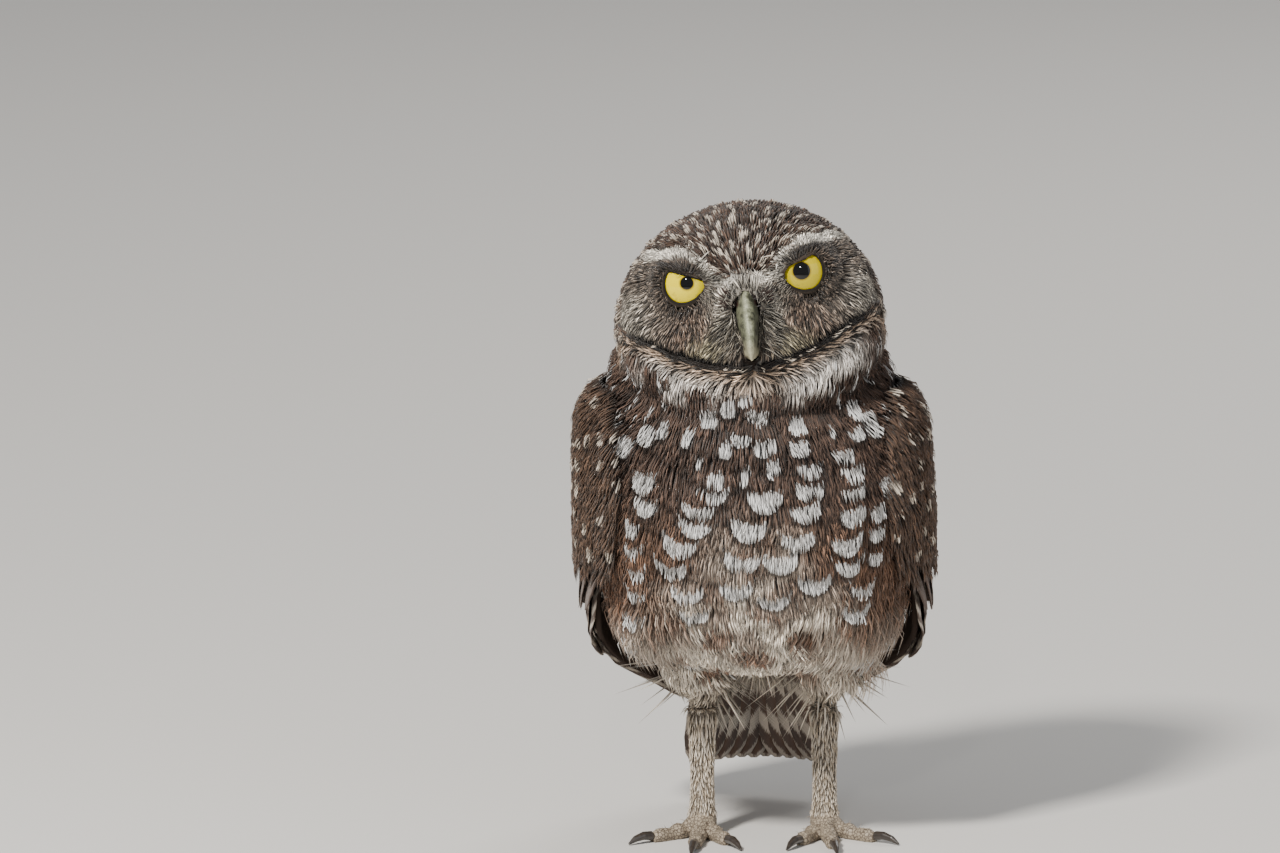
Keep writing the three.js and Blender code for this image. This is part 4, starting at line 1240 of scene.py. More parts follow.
def chin_dress(place, tint, pale, rng):
    n = len(tint)
    near_line = smooth(place.under_mouth, 3.4, 1.2)
    dark = rng.random(n) < 0.08 + 0.4 * near_line
    tint = np.where(dark[:, None], LINE_DARK * 1.5, tint)
    shaded = smooth(np.sin(place.hx * 0.9 + 1.5) * 0.5 + rng.normal(0, 0.3, n), 0.1, 0.6)[:, None]
    left = smooth(-place.hx, 2, 12)[:, None]
    return mix(tint, tint * 0.4, shaded * left * 0.8), pale


coat("throat", 29, 0.44, 3.0, on_chin, chin_size, NO_MARKS, chin_dress, bend=30.0, sway=0.12, even=0.3,
     contrast=0.2)

# %% [markdown]
# ## Belly and thighs
# The lowest feathers are downy. They hang over the thighs as silky tufts and hide where the legs begin.

# %% Silky tufts under the belly and on the thighs
def on_belly(place):
    return (place.z < 62) & (place.y < 34) & (place.z > 33.2) & (place.before_wing > -6)


def belly_size(place):
    low = smooth(place.z, 46, 38)
    return mix(9.0, 4.6, low), mix(0.5, 0.44, low), mix(3.2, 1.6, low)


def belly_dress(place, tint, pale, rng):
    return mix(tint, np.broadcast_to(LEG_BUFF, tint.shape), smooth(place.z, 46, 38)[:, None] * 0.5), pale


coat("belly", 39, 0.8, 5.0, on_belly, belly_size, body_marks, belly_dress, sway=0.3, splay=0.08, even=0.3,
     contrast=0.22)

# %% [markdown]
# ## Wings
# A closed wing is laid on the bird's side: small coverts at the shoulder, then longer and longer tiers, and
# at the bottom the long stiff primaries whose tips reach past the tail's root. All of them lie on one guide
# surface, and each tier's ends cover the next tier's roots. Coverts fray at the tip, primaries stay smooth.

# %% Tiers of wing feathers
VANE_RING = np.array([[-1, 0], [-0.55, 1], [0, 1.3], [0.55, 1], [1, 0], [0, -1]])
LONG_TIP = np.array([[0, 0.5], [0.18, 0.85], [0.4, 1], [0.62, 1], [0.8, 0.94], [0.91, 0.74], [0.97, 0.46],
                     [1, 0.14]])
# A vane's run from root to tip and its width there, and the places round its section
RUN, BREADTH = LONG_TIP[:, 0][None, :, None], LONG_TIP[:, 1][None, :, None]
ACROSS, FACE = VANE_RING[None, None, :, 0], VANE_RING[None, None, :, 1]
SPIKES, SPIKE_HALF = 24, 0.07  # loose barbs on a vane's edge, and how thick they are
# Roots at the front and back edge, tips at the front and back edge, feathers, lift, spots, bars
WING_TIERS = (
    ((122, 121), (113, 110), 13, 2.0, 0.5, 0), ((118, 116), (107, 104), 13, 2.2, 0.7, 0),
    ((113, 110.5), (101, 98), 12, 2.2, 0.8, 0), ((107.5, 104.5), (94, 90), 12, 2.2, 0.8, 0),
    ((101, 97.5), (85, 80), 12, 2.3, 0.8, 0), ((93, 90), (74, 69), 12, 2.4, 0.9, 0),
    ((82, 79), (60, 54), 12, 2.4, 0.9, 0), ((69, 66), (42, 34), 12, 2.2, 0, 1),
    ((49, 43), (26, 12.5), 10, 1.4, 0, 1),
)


def wing_vanes(side, roots, tips, count, lift, rng):
    across = ((np.arange(count) + 0.5 + rng.normal(0, 0.06, count)) / count)[:, None, None] * 1.04 - 0.03
    z0, z1 = mix(*roots, across), mix(*tips, across) + rng.normal(0, 0.5, (count, 1, 1))
    height = mix(-0.9, lift, RUN**0.8)
    half = 1.35 / count / 2 * BREADTH
    height = height + FACE * 0.12 - ACROSS * BREADTH * 0.75 - 0.25 * ACROSS**2
    points = wing_point(side, mix(z0, z1, RUN), across + ACROSS * half, height)
    uv = np.stack(np.broadcast_arrays(ACROSS * 0.5 + 0.5, RUN, across)[:2], -1)
    return points, uv, 0.03 + 0.94 * np.concatenate([across[:, 0], (z0[:, 0] - 10) / 120], -1)


def frayed_edge(points, uv, rng, count, reach, start):
    """Small closed spikes along the outer edges of vanes, four faces each."""
    n, stations, ring, _ = points.shape
    pick = rng.uniform(start, 1.0, (n, count)) * (stations - 1)
    at = np.minimum(pick.astype(int), stations - 2)
    t = (pick - at)[..., None]
    edge = np.array([0, 4])[rng.integers(0, 2, (n, count))]
    row = np.arange(n)[:, None]

    def on(field, where):
        return mix(field[row, at, where], field[row, at + 1, where], t)

    rim, middle = on(points, edge), (on(points, 0) + on(points, 4)) / 2
    inward = rng.uniform(0.02, 0.5, (n, count, 1))
    base, base_uv = mix(rim, middle, inward), mix(on(uv, edge), on(uv, edge) * [0, 1] + [0.5, 0], inward)
    ahead = unit(points[:, -1].mean(1) - points[:, -2].mean(1))[:, None, :]
    out = unit(rim - middle)
    heading = unit(ahead + out * rng.uniform(0.1, 0.6, (n, count, 1)) + rng.normal(0, 0.1, (n, count, 3)))
    across = unit(np.cross(heading, out + 1e-6))
    over = np.cross(heading, across)
    long = reach * rng.uniform(0.6, 1.25, (n, count, 1))
    corners = [base + across * SPIKE_HALF, base + (over - across) * SPIKE_HALF * 0.6,
               base - (over + across) * SPIKE_HALF * 0.6]
    return np.stack([*corners, base + heading * long], 2), np.repeat(base_uv[:, :, None], 4, 2)


SPIKE = np.array([[0, 2, 1], [0, 1, 3], [1, 2, 3], [2, 0, 3]])

for label, side in (("left", 1), ("right", -1)):
    rng = np.random.default_rng(61 + side)
    parts = []
    for roots_z, tips_z, count, lift, spotted, barred in WING_TIERS:
        points, uv, spot = wing_vanes(side, roots_z, tips_z, count, lift, rng)
        n = len(points)
        tint = np.tile(mix(DARK_BROWN, WARM_BROWN, 0.35), (n, 1)) * rng.normal(1, 0.09, (n, 1))
        marked = (rng.random(n) < spotted * 0.62) * rng.uniform(0.35, 0.85, n)
        looks = {"tint": tint, "pale": np.tile(STREAK_BUFF, (n, 1)), "chance": rng.random(n),
                 "pattern": np.stack([marked, np.full(n, barred * 0.8), np.zeros(n)], -1), "place": spot}
        parts.append({"points": points, "uv": uv, "faces": grid_faces(n, *points.shape[1:3]), **looks})
        spikes, spike_uv = frayed_edge(points, uv, rng, SPIKES, 1.1 if spotted else 0.6, 0.35)
        spike_faces = (SPIKE[None] + np.arange(n * SPIKES)[:, None, None] * 4).reshape(-1, 3)
        parts.append({"points": spikes, "uv": spike_uv, "faces": [spike_faces], **looks})
    feather_piece(f"wing_feathers_{label}", parts, flight_material)

# %% [markdown]
# ### Soft coverts of the shoulder
# The smallest coverts are as soft as the body's feathers, and no single vane shows. They are laid barb by
# barb over the first tiers, with small buff drops, so that the shoulder passes softly into the back.

# %% Soft coverts over the shoulder
SHOULDER_ROWS, SHOULDER_COLUMNS = 36, 44


def shoulder(side):
    """The upper part of the wing's outer surface, as points, normals and faces that look out."""
    z = np.linspace(72, 122, SHOULDER_ROWS)[:, None]
    share = np.linspace(-0.1, 1.03, SHOULDER_COLUMNS)[None, :]
    points = wing_point(side, z, share, 1.5 - 1.2 * smooth(z, 114, 122) - 1.2 * smooth(share, 0.02, -0.1))
    points = points.reshape(-1, 3)
    i, k = np.meshgrid(np.arange(SHOULDER_ROWS - 1), np.arange(SHOULDER_COLUMNS - 1), indexing="ij")
    first = i * SHOULDER_COLUMNS + k
    above = first + SHOULDER_COLUMNS
    quads = np.stack([first, first + 1, above + 1, above], -1).reshape(-1, 4)
    quads = quads if side < 0 else quads[:, ::-1]
    normals = point_normals(points, quads)
    if np.sum(normals[:, 0] * side) < 0:
        quads, normals = quads[:, ::-1], -normals
    return points, normals, quads


def on_coverts(place):
    return place.z > 77 + 5 * np.sin(place.y * 0.8 + place.z)


def covert_size(place):
    low = smooth(place.z, 112, 84)
    return mix(5.0, 7.6, low), mix(0.4, 0.5, low), 1.7


def covert_dress(place, tint, pale, rng):
    n = len(tint)
    brown = mix(MANTLE_BROWN, WARM_BROWN, 0.3 * rng.random((n, 1))) * rng.normal(1, 0.1, (n, 1))
    lighter = rng.choice([0.6, 1.0, 1.4, 2.0], (n, 1), p=[0.25, 0.45, 0.22, 0.08])
    return brown * lighter, STREAK_BUFF * rng.normal(1, 0.08, (n, 1))


for label, side in (("left", 1), ("right", -1)):
    surface = shoulder(side)
    spots = scattered_marks(45, 5.2, lambda p: p.z > 78, 1.5, 0.95, 0.75, 2.0, surface)
    coat(f"coverts_{label}", 46, 0.72, 4.6, on_coverts, covert_size, spots, covert_dress, sway=0.1,
         even=0.5, surface=surface)

# %% [markdown]
# ### The wing's flesh
# A thin closed slab takes the place of the wing's solid under the feathers. Its dark brown is painted shade,
# as dark as the shaded gaps between the vanes.

# %% The wing's flesh under its feathers
for label, side in (("left", 1), ("right", -1)):
    z = np.linspace(24, 121, 30)[:, None]
    share = np.linspace(0.01, 0.99, 14)[None, :]
    thin = 0.3 + 0.7 * smooth(z, 24, 49) * (1 - smooth(z, 111, 121))
    outer = wing_point(side, z, share, -0.5)
    inner = wing_point(side, z, share[:, ::-1], -0.5 - 2.6 * thin * (0.5 + 0.5 * np.sin(math.pi * share)))
    points = np.concatenate([outer, inner], 1)
    flat = points.reshape(-1, 3)
    # Dark brown at four tenths: painted shade of the gaps between the vanes.
    tint = np.tile(DARK_BROWN * 0.4, (len(flat), 1))
    add_piece(f"wing_skin_{label}", flat, outward(flat, grid_faces(1, *points.shape[:2])), skin_material,
              (f"wing_{label}",), colours={"tint": tint})

# %% [markdown]
# ## Tail
# Twelve feathers close into a stack: the middle pair on top, the outermost underneath.

# %% The closed fan of the tail
TAIL_TOP, TAIL_END = np.array([40, 54.0]), np.array([62.5, 9.0])


def tail_point(along, out, depth):
    run = TAIL_END - TAIL_TOP
    up = np.array([-run[1], run[0]]) / np.hypot(*run)
    along, out, depth = np.broadcast_arrays(along, out, depth)
    place = TAIL_TOP + run * along[..., None] - up * (depth + 0.008 * out**2)[..., None]
    return np.stack([midline(place[..., 1]) + out, place[..., 0], place[..., 1]], -1) + body_shift


rng = np.random.default_rng(71)
number = np.array([0.5, 0.5, 1.5, 1.5, 2.5, 2.5, 3.5, 3.5, 4.5, 4.5, 5.3, 5.3])[:, None, None]
hand = np.array([1, -1] * 6)[:, None, None]
level = np.array([0, 0.45, 0.9, 0.9, 1.8, 1.8, 2.7, 2.7, 3.6, 3.6, 4.5, 4.5])[:, None, None]
out = hand * number * 3.1 * mix(0.62, 1.0, RUN) + ACROSS * 5.2 * BREADTH * mix(0.75, 1.0, RUN)
points = tail_point(RUN * (1 - 0.012 * number), out, level - FACE * 0.12 + 0.15 * ACROSS**2)
uv = np.stack(np.broadcast_arrays(ACROSS * 0.5 + 0.5, RUN, number)[:2], -1)
n = len(points)
looks = {"tint": np.tile(mix(DARK_BROWN, WARM_BROWN, 0.5), (n, 1)) * rng.normal(1, 0.05, (n, 1)),
         "pale": np.tile(STREAK_BUFF, (n, 1)), "chance": rng.random(n),
         "pattern": np.tile([0, 0.8, 0], (n, 1)),
         "place": np.stack([0.5 + hand[:, 0, 0] * number[:, 0, 0] / 12, np.full(n, 0.5)], -1)}
vanes = {"points": points, "uv": uv, "faces": grid_faces(n, *points.shape[1:3]), **looks}
feather_piece("tail_feathers", [vanes], flight_material, ("tail",))

# %% [markdown]
# ## Eyes
# The iris is a bright lemon ring with fine spokes and a dark outer rim, under one wet glossy surface. The
# pupil on the sunny side is smaller than the one in the shade, and the shaded eye's iris is painted darker,
# as painted shade.


# %% Eyeballs
IRIS = 6.3  # half across
PUPIL_BLACK = [0.002, 0.002, 0.002]


def eye_recipe(name, centre, axis, pupil, iris_painted_light):
    r = Recipe(name)
    spot = r.node("ShaderNodeVectorMath", operation="SUBTRACT")
    r.feed(spot.inputs[0], r.node("ShaderNodeTexCoord").outputs["Object"])
    spot.inputs[1].default_value = centre
    along = r.node("ShaderNodeVectorMath", operation="DOT_PRODUCT")
    r.feed(along.inputs[0], spot.outputs[0])
    along.inputs[1].default_value = axis
    ratio = r.math("DIVIDE", along.outputs["Value"], BALL * MM)
    inside = r.math("MAXIMUM", r.math("SUBTRACT", 1.0, r.math("MULTIPLY", ratio, ratio)), 0.0)
    radius = r.math("MULTIPLY", r.math("SQRT", inside), BALL)
    fibres = r.noise(2600.0, 3.0)
    # The iris colours are scaled per eye: painted light, darker for the eye in the key light's shade.
    yellow = r.blend(fibres, pigment(248, 218, 0) * iris_painted_light, pigment(255, 238, 0) * iris_painted_light)
    olive = r.blend(r.band(r.noise(700.0, 3.0), 0.55, 0.8), yellow, pigment(206, 184, 0) * iris_painted_light)
    inner = r.blend(r.band(radius, pupil / 2 + 0.6, pupil / 2), olive, pigment(140, 118, 8))
    rim = r.blend(r.band(radius, IRIS - 1.2, IRIS - 0.2), inner, pigment(30, 26, 10))
    colour = r.blend(r.band(radius, pupil / 2 + 0.1, pupil / 2 - 0.05), rim, PUPIL_BLACK)
    return r.finish(Base_Color=colour, Roughness=0.9, Coat_Weight=1.0, Coat_Roughness=0.02,
                    Specular_IOR_Level=0.0)


def ball_mesh(centre, axis, radius, across=40, down=24):
    """A closed sphere whose pole looks along axis."""
    side = unit(np.cross(axis, [0, 0, 1.0]))
    over = np.cross(side, axis)
    polar = np.linspace(0.02, math.pi - 0.02, down)[:, None]
    turn = (np.arange(across) / across * 2 * math.pi)[None, :]
    points = centre + radius * (np.cos(polar)[..., None] * axis
                                + (np.sin(polar) * np.cos(turn))[..., None] * side
                                + (np.sin(polar) * np.sin(turn))[..., None] * over)
    flat = points.reshape(-1, 3)
    return flat, outward(flat - centre, grid_faces(1, down, across))


gaze = unit(np.array([0, -math.cos(CAMERA_RISE), math.sin(CAMERA_RISE)]))
for label, side, pupil, iris_painted_light, _ in EYES:
    centre = centre_of(f"eye_{label}")
    points, faces = ball_mesh(centre, gaze, BALL)
    material = eye_recipe(f"wet eye {label}", tuple(centre * MM), tuple(gaze), pupil, iris_painted_light)
    add_piece(f"eyeball_{label}", points, faces, material, (f"eye_{label}",))

# %% [markdown]
# ### Lids
# Dark bare skin rims the eye. The upper lid is drawn straight down towards the bill, which cuts the round
# eye and makes the stern look.


# %% The rims of the lids
def lid_recipe():
    r = Recipe("bare lid skin")
    grain = r.noise(1800.0, 3.0)
    r.bump(grain, 0.5, 0.0002)
    shade = r.blend(r.math("MULTIPLY", grain, 0.7), r.attribute("tint"), [0.012, 0.01, 0.008])
    return r.finish(Base_Color=shade, Roughness=0.75, Specular_IOR_Level=0.2)


lid_material = lid_recipe()
# How far out from the opening and how far off the eyeball, round the lid's section
LID_SECTION = np.array([[-0.1, 0.08], [-0.08, 0.4], [0.12, 0.6], [0.45, 0.6], [0.9, 0.4], [1.5, -0.1],
                        [0.6, 0.02]])
# How far the opening reaches from the pupil, turning up from the outer corner to the narrow inner one
LID_REACH = np.array([[0, 5.75], [90, 5.7], [150, 5.8], [172, 5.6], [184, 5.35], [199, 4.9], [225, 4.45],
                      [256, 4.6], [285, 5.1], [300, 5.5], [318, 5.75], [346, 5.8], [360, 5.75]])
LID_STEPS, LID_BALL = 64, 8.6  # points round a lid, and the half size of the ball that it lies on
CORNER_SHARPNESS, NO_CHORD = 2.5, 30  # where the lid's two curves meet, and where the straight one is far off
for label, side, _, _, lid_height in EYES:
    centre = to_head(centre_of(f"eye_{label}")[None])[0]
    turn = np.linspace(0, 2 * math.pi, LID_STEPS, endpoint=False)
    rise = np.sin(turn) - LID_SLOPE * np.cos(turn)
    chord = np.where(rise > 0.01, lid_height / np.maximum(rise, 0.01), NO_CHORD)
    round_part = np.interp(np.degrees(turn), *LID_REACH.T)
    both = [np.exp(-CORNER_SHARPNESS * reach) for reach in (round_part, np.minimum(chord, NO_CHORD))]
    opening = -np.log(both[0] + both[1]) / CORNER_SHARPNESS
    angle = np.arcsin(np.clip((opening[:, None] + LID_SECTION[None, :, 0]) / LID_BALL, -1, 0.985))
    ball = BALL + LID_SECTION[None, :, 1]
    points = np.stack([side * np.cos(turn)[:, None] * np.sin(angle) * ball, -np.cos(angle) * ball,
                       np.sin(turn)[:, None] * np.sin(angle) * ball], -1) + centre
    quads = grid_faces(1, LID_STEPS + 1, len(LID_SECTION))[0] % (LID_STEPS * len(LID_SECTION))
    flat = from_head(points.reshape(-1, 3))
    outer = smooth(LID_SECTION[:, 0], 0.1, 0.7)[None, :, None]
    tint = np.tile(mix(LINE_DARK * 0.5, GREY_BROWN * 0.7, outer), (len(turn), 1, 1)).reshape(-1, 3)
    add_piece(f"lid_{label}", flat, outward(flat - flat.mean(0), [quads]), lid_material,
              colours={"tint": tint})

# %% [markdown]
# ## Bill, claws and feet
# Their solids have the right shape, only faceted. A fine voxel remesh and a little smoothing turns each into
# one even surface, and the horn, skin and claw finishes are painted by place and grain. On the bill this
# includes a painted highlight along the ridge and painted shade on the flanks.


# %% Horn, claw and foot finishes
def place_in_head(r):
    """Sideways and upward places in the head's frame, in mm, as sockets."""
    spot = r.node("ShaderNodeVectorMath", operation="SUBTRACT")
    r.feed(spot.inputs[0], r.node("ShaderNodeTexCoord").outputs["Object"])
    spot.inputs[1].default_value = head_centre * MM
    sockets = []
    for axis in (head_turn[:, 0], head_turn[:, 2]):
        dot = r.node("ShaderNodeVectorMath", operation="DOT_PRODUCT")
        r.feed(dot.inputs[0], spot.outputs[0])
        dot.inputs[1].default_value = axis / MM
        sockets.append(dot.outputs["Value"])
    return sockets


def horn_recipe():
    r = Recipe("bill horn")
    x, z = place_in_head(r)
    grain, fine = r.noise(500.0, 4.0), r.noise(2600.0, 2.0)
    wander = r.math("MULTIPLY_ADD", grain, 1.6, -0.8)
    off_ridge = r.math("ABSOLUTE", r.math("ADD", x, wander))
    worn = r.band(r.math("ADD", grain, r.math("MULTIPLY", fine, 0.5)), 0.55, 0.95)
    # Over the horn's grey-green, the pale ridge is a painted highlight and the darker flanks are painted
    # shade.
    flank = r.blend(worn, pigment(96, 98, 78), pigment(40, 40, 30))
    ridge_highlight = r.blend(worn, pigment(164, 166, 142), pigment(112, 114, 92))
    colour = r.blend(r.band(off_ridge, 0.1, 1.3), ridge_highlight, flank)
    tipped = r.blend(r.math("MULTIPLY", r.band(z, -2.0, -8.0), 0.7), colour, pigment(168, 160, 134))
    side_off = r.math("POWER", r.math("SUBTRACT", r.math("ABSOLUTE", x), 3.1), 2.0)
    from_nostril = r.math("SQRT", r.math("ADD", side_off, r.math("POWER", r.math("SUBTRACT", z, 6.4), 2.0)))
    opened = r.blend(r.band(from_nostril, 1.5, 0.8), tipped, pigment(44, 24, 20))
    r.bump(r.math("ADD", grain, r.math("MULTIPLY", fine, 0.4)), 0.5, 0.0003)
    return r.finish(Base_Color=opened, Roughness=0.58, Specular_IOR_Level=0.35)


def claw_recipe():
    r = Recipe("claw horn")
    grain = r.noise(900.0, 3.0)
    r.bump(grain, 0.2, 0.0001)
    return r.finish(Base_Color=r.blend(grain, pigment(28, 24, 21), pigment(66, 58, 52)), Roughness=0.3,
                    Coat_Weight=0.3, Coat_Roughness=0.2)


def foot_recipe():
    r = Recipe("scaly foot skin")
    cells = r.node("ShaderNodeTexVoronoi", feature="DISTANCE_TO_EDGE")
    r.feed(cells.inputs["Vector"], r.node("ShaderNodeTexCoord").outputs["Object"])
    r.feed(cells.inputs["Scale"], 1100.0)
    seam = r.band(cells.outputs["Distance"], 0.02, 0.14)
    grain = r.noise(600.0, 3.0)
    base = r.blend(grain, pigment(132, 120, 104), pigment(166, 152, 132))
    colour = r.blend(seam, pigment(84, 72, 60), base)
    r.bump(seam, 0.6, 0.0002)
    return r.finish(Base_Color=colour, Roughness=0.6)


def smoothed_copy(name, nodes, voxel, rounds, material, replaced, trim=None):
    points, quads = fused(nodes, voxel, 0.16, rounds)
    points[:, 2] = np.maximum(points[:, 2], 0.0)
    if trim:
        points = trim(points)
    add_piece(name, points, [quads], material, replaced)
    return points, quads


def pinched(points):
    """The flanks of the bill, drawn in a little towards the tip, so that the ridge stands out."""
    head = to_head(points)
    head[:, 0] *= mix(0.9, 0.72, smooth(head[:, 2], 4, -4))
    return from_head(head)


horn_material, claw_material, foot_material = horn_recipe(), claw_recipe(), foot_recipe()
smoothed_copy("upper_bill", ("bill_upper",), 0.2, 8, horn_material, ("bill_upper",), pinched)
smoothed_copy("lower_bill", ("bill_lower",), 0.2, 5, horn_material, ("bill_lower",))
leg_skins = {}
for label in ("left", "right"):
    legs = (f"tarsus_{label}", f"foot_{label}")
    leg_skins[label] = smoothed_copy(f"leg_{label}", legs, 0.36, 4, foot_material, legs)
    for toe in ("inner", "middle", "outer", "hind"):
        node = f"claw_{label}_{toe}"
        smoothed_copy(f"talon_{label}_{toe}", (node,), 0.16, 4, claw_material, (node,))

# %% [markdown]
# ### Bristles
# Stiff bristles stand round the bill and veil its nostrils and flanks, and a few stand on the toes. They
# repeat one simple shape, so Geometry Nodes grow them: a small bent cone is put on every root and turned
# along the direction that the root carries. The tree takes its sizes by name and its seed is fixed.


# %% A tree that grows bristles on roots
def bristle_tree(material):
    tree = bpy.data.node_groups.new("grow bristles", "GeometryNodeTree")
    tree.interface.new_socket(name="Roots", in_out="INPUT", socket_type="NodeSocketGeometry")
    for label, kind in (("Length", "Float"), ("Thickness", "Float"), ("Bend", "Float"), ("Seed", "Int")):
        tree.interface.new_socket(name=label, in_out="INPUT", socket_type="NodeSocket" + kind)
    tree.interface.new_socket(name="Bristles", in_out="OUTPUT", socket_type="NodeSocketGeometry")

    def node(kind, **settings):
        made = tree.nodes.new(kind)
        for key, value in settings.items():
            setattr(made, key, value)
        return made

    join = tree.links.new
    sizes, leave = node("NodeGroupInput"), node("NodeGroupOutput")
    cone = node("GeometryNodeMeshCone")
    for label, value in (("Vertices", 3), ("Side Segments", 4), ("Radius Top", 0.0)):
        cone.inputs[label].default_value = value
    join(sizes.outputs["Length"], cone.inputs["Depth"])
    join(sizes.outputs["Thickness"], cone.inputs["Radius Bottom"])
    # the bend grows with the square of the height over the root
    here, height = node("GeometryNodeInputPosition"), node("ShaderNodeSeparateXYZ")
    join(here.outputs[0], height.inputs[0])
    squared = node("ShaderNodeMath", operation="POWER")
    join(height.outputs[2], squared.inputs[0])
    squared.inputs[1].default_value = 2.0
    pushed = node("ShaderNodeMath", operation="MULTIPLY")
    join(squared.outputs[0], pushed.inputs[0])
    join(sizes.outputs["Bend"], pushed.inputs[1])
    offset, bent = node("ShaderNodeCombineXYZ"), node("GeometryNodeSetPosition")
    join(pushed.outputs[0], offset.inputs[0])
    join(cone.outputs["Mesh"], bent.inputs["Geometry"])
    join(offset.outputs[0], bent.inputs["Offset"])
    # each bristle stands along its root's direction and bends down
    lie = node("GeometryNodeInputNamedAttribute", data_type="FLOAT_VECTOR")
    lie.inputs["Name"].default_value = "lie"
    stand = node("FunctionNodeAlignRotationToVector", axis="Z")
    join(lie.outputs["Attribute"], stand.inputs["Vector"])
    sag = node("FunctionNodeAlignRotationToVector", axis="X", pivot_axis="Z")
    sag.inputs["Vector"].default_value = (0, 0, -1)
    join(stand.outputs[0], sag.inputs["Rotation"])
    chance = node("FunctionNodeRandomValue", data_type="FLOAT")
    low, high = (s for s in chance.inputs if s.enabled and s.name in ("Min", "Max"))
    low.default_value, high.default_value = 0.65, 1.25
    join(sizes.outputs["Seed"], chance.inputs["Seed"])
    grown = node("GeometryNodeInstanceOnPoints")
    join(sizes.outputs["Roots"], grown.inputs["Points"])
    join(bent.outputs[0], grown.inputs["Instance"])
    join(sag.outputs[0], grown.inputs["Rotation"])
    join(next(s for s in chance.outputs if s.enabled), grown.inputs["Scale"])
    real, dyed = node("GeometryNodeRealizeInstances"), node("GeometryNodeSetMaterial")
    join(grown.outputs[0], real.inputs[0])
    join(real.outputs[0], dyed.inputs["Geometry"])
    dyed.inputs["Material"].default_value = material
    join(dyed.outputs[0], leave.inputs[0])
    return tree


bristle_growth = bristle_tree(tuft_material)
print("bristle tree nodes:", len(bristle_growth.nodes))


# %% [markdown]
# The roots go in as a mesh of points alone, each with its direction. What grows is turned into a plain
# mesh, the modifier goes, and the bristles get the same colours and maps as the other barbs.


# %% Grow bristles and keep them as a plain mesh
def bristles(name, roots, lies, tint, length, thickness, bend, seed):
    """Roots in mm, their directions and colours, and the bristles' sizes in mm."""
    mesh = bpy.data.meshes.new(name + " roots")
    mesh.from_pydata((roots * MM).tolist(), [], [])
    carried = mesh.attributes.new("lie", "FLOAT_VECTOR", "POINT")
    carried.data.foreach_set("vector", lies.astype(np.float32).ravel())
    holder = bpy.data.objects.new(name + " roots", mesh)
    bpy.context.scene.collection.objects.link(holder)
    grow = holder.modifiers.new("grow", "NODES")
    grow.node_group = bristle_growth
    values = {"Length": length * MM, "Thickness": thickness * MM, "Bend": bend / MM, "Seed": seed}
    for item in bristle_growth.interface.items_tree:
        if item.name in values:
            grow[item.identifier] = values[item.name]
    bpy.context.view_layer.update()
    grown = bpy.data.meshes.new_from_object(holder.evaluated_get(bpy.context.evaluated_depsgraph_get()))
    points = np.empty(len(grown.vertices) * 3, np.float32)
    grown.vertices.foreach_get("co", points)
    points = points.reshape(-1, 3).astype(float) / MM
    by_size = {}
    for face in grown.polygons:
        by_size.setdefault(len(face.vertices), []).append(tuple(face.vertices))
    holder.modifiers.remove(grow)
    bpy.data.objects.remove(holder)
    each = len(points) // len(roots)
    own = np.repeat(np.arange(len(roots)), each)
    run = np.linalg.norm(points - roots[own], axis=1)
    run = run / np.maximum.reduceat(run, np.arange(0, len(points), each))[own]
    uv = np.stack([np.arange(len(points)) % 3 / 2, run], -1)
    colours = {"tint": tint[own], "pale": tint[own], "pattern": np.tile(FAR_FROM_MARKS, (len(points), 1)),
               "chance": np.full(len(points), 0.5)}
    add_piece(name, points, [np.array(f) for f in by_size.values()], tuft_material, (), uv, colours,
              unwrap(roots)[own] + PATCH * (uv - 0.5))


def by_bill(place, inner, outer):
    wide = np.abs(place.hx)
    return (place.face > 0.3) & (wide > inner) & (wide < outer) & (place.hy < -20)


def over_root(place):
    return by_bill(place, 1.1, 4.2) & (place.hz > 8) & (place.hz < 11)


def beside_bill(place):
    return by_bill(place, 2.2, 6.8) & (place.hz > -6.5) & (place.hz <= 6)


for name, where, spacing, heading, length in (("root_bristles", over_root, 0.6, (0.2, -0.42, -0.8), 3.6),
                                              ("bill_bristles", beside_bill, 0.8, (0.75, -0.6, -0.4), 4.2)):
    rng = np.random.default_rng(91)
    roots, facing = scatter(spacing, 92, where)
    sign = np.sign(Place(roots).hx)[:, None]
    heads = sign * [heading[0], 0, 0] + np.array([0, *heading[1:]])
    lies = unit(heads + rng.normal(0, 0.13, (len(roots), 3)))
    lies = unit(lies @ head_turn.T + facing * 0.3)
    shade = rng.choice([0.1, 0.45, 1.0, 1.35], (len(roots), 1), p=[0.3, 0.2, 0.3, 0.2])
    shade = mix(PALE_GREY * shade, NOSTRIL_RED, by_nostril(Place(roots)))
    bristles(name, roots + facing * 0.5, lies, shade, length, 0.12, 0.02, 5)
    print(name, "roots:", len(roots))


def on_toes(place):
    return (place.z > 2.5) & (place.z < 8)


for label, (points, quads) in leg_skins.items():
    rng = np.random.default_rng(95)
    roots, facing = scatter(1.5, 96, on_toes, points, point_normals(points, quads), quads)
    upper = facing[:, 2] > 0.1
    roots, facing = roots[upper], facing[upper]
    lies = unit(facing + [0, -0.9, 0.1] + rng.normal(0, 0.2, facing.shape))
    shade = LEG_BUFF * rng.normal(1, 0.15, (len(roots), 1))
    bristles(f"toe_bristles_{label}", roots - facing * 0.2, lies, shade, 2.0, 0.09, 0.1, 6)

# %% [markdown]
# ### Leg feathers
# A burrowing owl's long shanks carry short hairlike feathers that thin out over the feet.


# %% Short tufts down the legs
def on_leg(place):
    return (place.z > 6.5) & (place.z < 34)


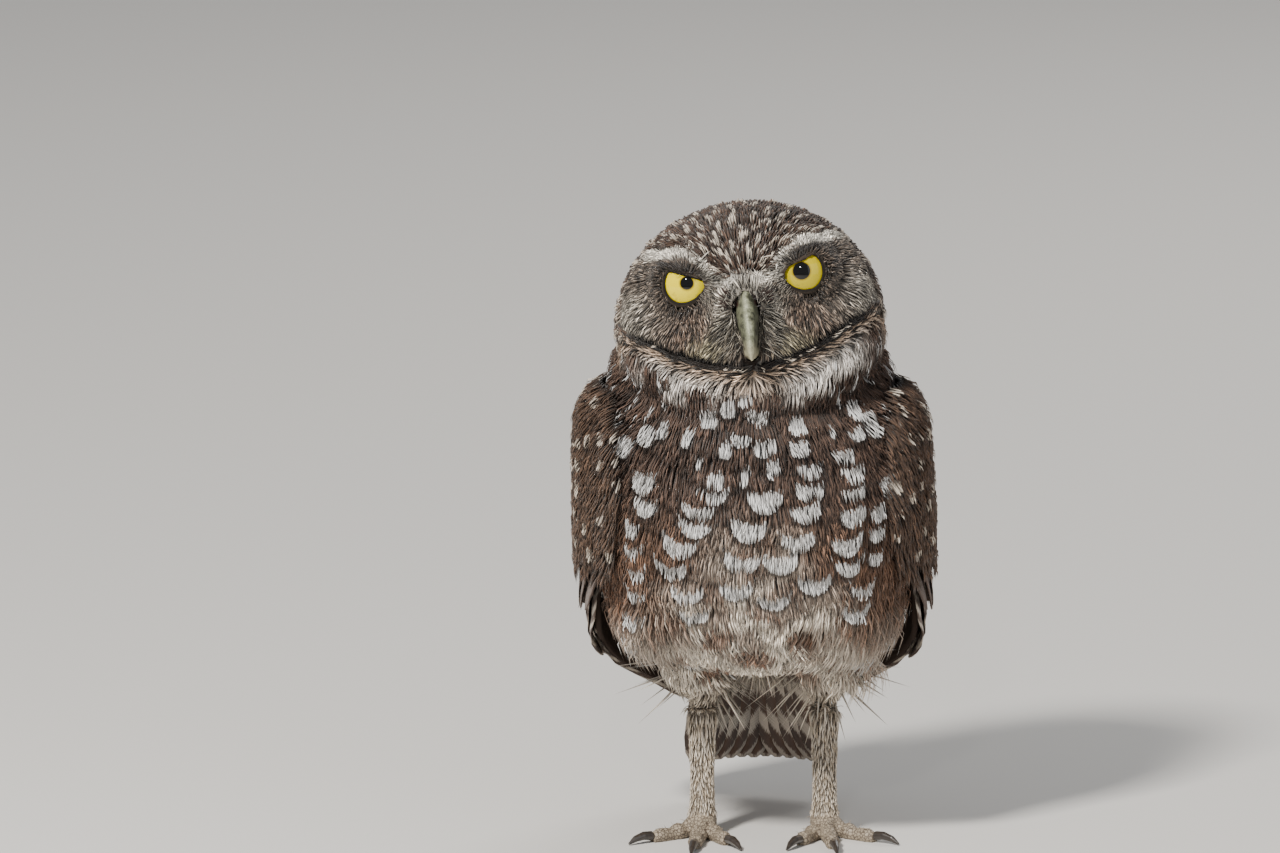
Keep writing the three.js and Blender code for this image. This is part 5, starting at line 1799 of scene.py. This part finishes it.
for label, (points, quads) in leg_skins.items():
    rng = np.random.default_rng(81)
    roots, facing = scatter(0.62, 83, on_leg, points, point_normals(points, quads), quads)
    n = len(roots)
    high = smooth(roots[:, 2], 8, 30)
    lies = along_surface(np.array([0, -0.25, -1.0]) + rng.normal(0, 0.12, (n, 3)), facing)
    length = column(mix(2.2, 3.8, high) * rng.normal(1, 0.15, n).clip(0.6, 1.4), n)
    spine = blade_spine(roots, facing, lies, length, column(mix(0.4, 0.9, high), n), 30.0)
    tint = mix(LEG_BUFF, BELLY_BUFF, rng.random((n, 1))) * rng.normal(1, 0.14, (n, 1))
    tufts = blade_part(spine, facing, np.cross(lies, facing), 0.4, tint, tint,
                       np.tile(FAR_FROM_MARKS, (n, 3, 1)), rng)
    add_blades(f"leg_tufts_{label}", tufts)

# %% [markdown]
# ## Studio
# A plain pale floor runs far behind the bird. The key light stands to the upper left in front, as the sun
# did, large enough for soft edges, and a wide fill lifts the shaded side.

# %% Floor, world and lights
FLOOR_REACH = 8
floor_corners = [(x * FLOOR_REACH, y * FLOOR_REACH, 0) for x, y in ((-1, -1), (1, -1), (1, 1), (-1, 1))]
floor_mesh = bpy.data.meshes.new("floor")
floor_mesh.from_pydata(floor_corners, [], [(0, 1, 2, 3)])
floor = bpy.data.objects.new("floor", floor_mesh)
bpy.context.scene.collection.objects.link(floor)
floor_look = Recipe("pale studio floor")
floor_mesh.materials.append(floor_look.finish(Base_Color=[0.62, 0.6, 0.57], Roughness=0.8))

world = bpy.data.worlds.new("studio")
world.use_nodes = True
world.node_tree.nodes["Background"].inputs[0].default_value = (0.92, 0.95, 1.0, 1)
world.node_tree.nodes["Background"].inputs[1].default_value = 0.34
bpy.context.scene.world = world


def softbox(name, place, size, watts, colour):
    light = bpy.data.lights.new(name, "AREA")
    light.size, light.energy, light.color = size, watts, colour
    lamp = bpy.data.objects.new(name, light)
    lamp.location = place
    lamp.rotation_euler = (Vector((0, 0, 0.1)) - Vector(place)).to_track_quat("-Z", "Y").to_euler()
    bpy.context.scene.collection.objects.link(lamp)


softbox("key", (-0.62, -1.0, 1.15), 0.2, 45, (1.0, 0.97, 0.92))
softbox("fill", (1.2, -1.2, 0.5), 1.2, 5, (0.9, 0.95, 1.0))
softbox("rim", (0.5, 1.1, 1.0), 0.6, 8, (1.0, 0.98, 0.95))
softbox("catch light", (-0.12, -1.5, 0.85), 0.07, 2.5, (1.0, 1.0, 1.0))
print("lights set")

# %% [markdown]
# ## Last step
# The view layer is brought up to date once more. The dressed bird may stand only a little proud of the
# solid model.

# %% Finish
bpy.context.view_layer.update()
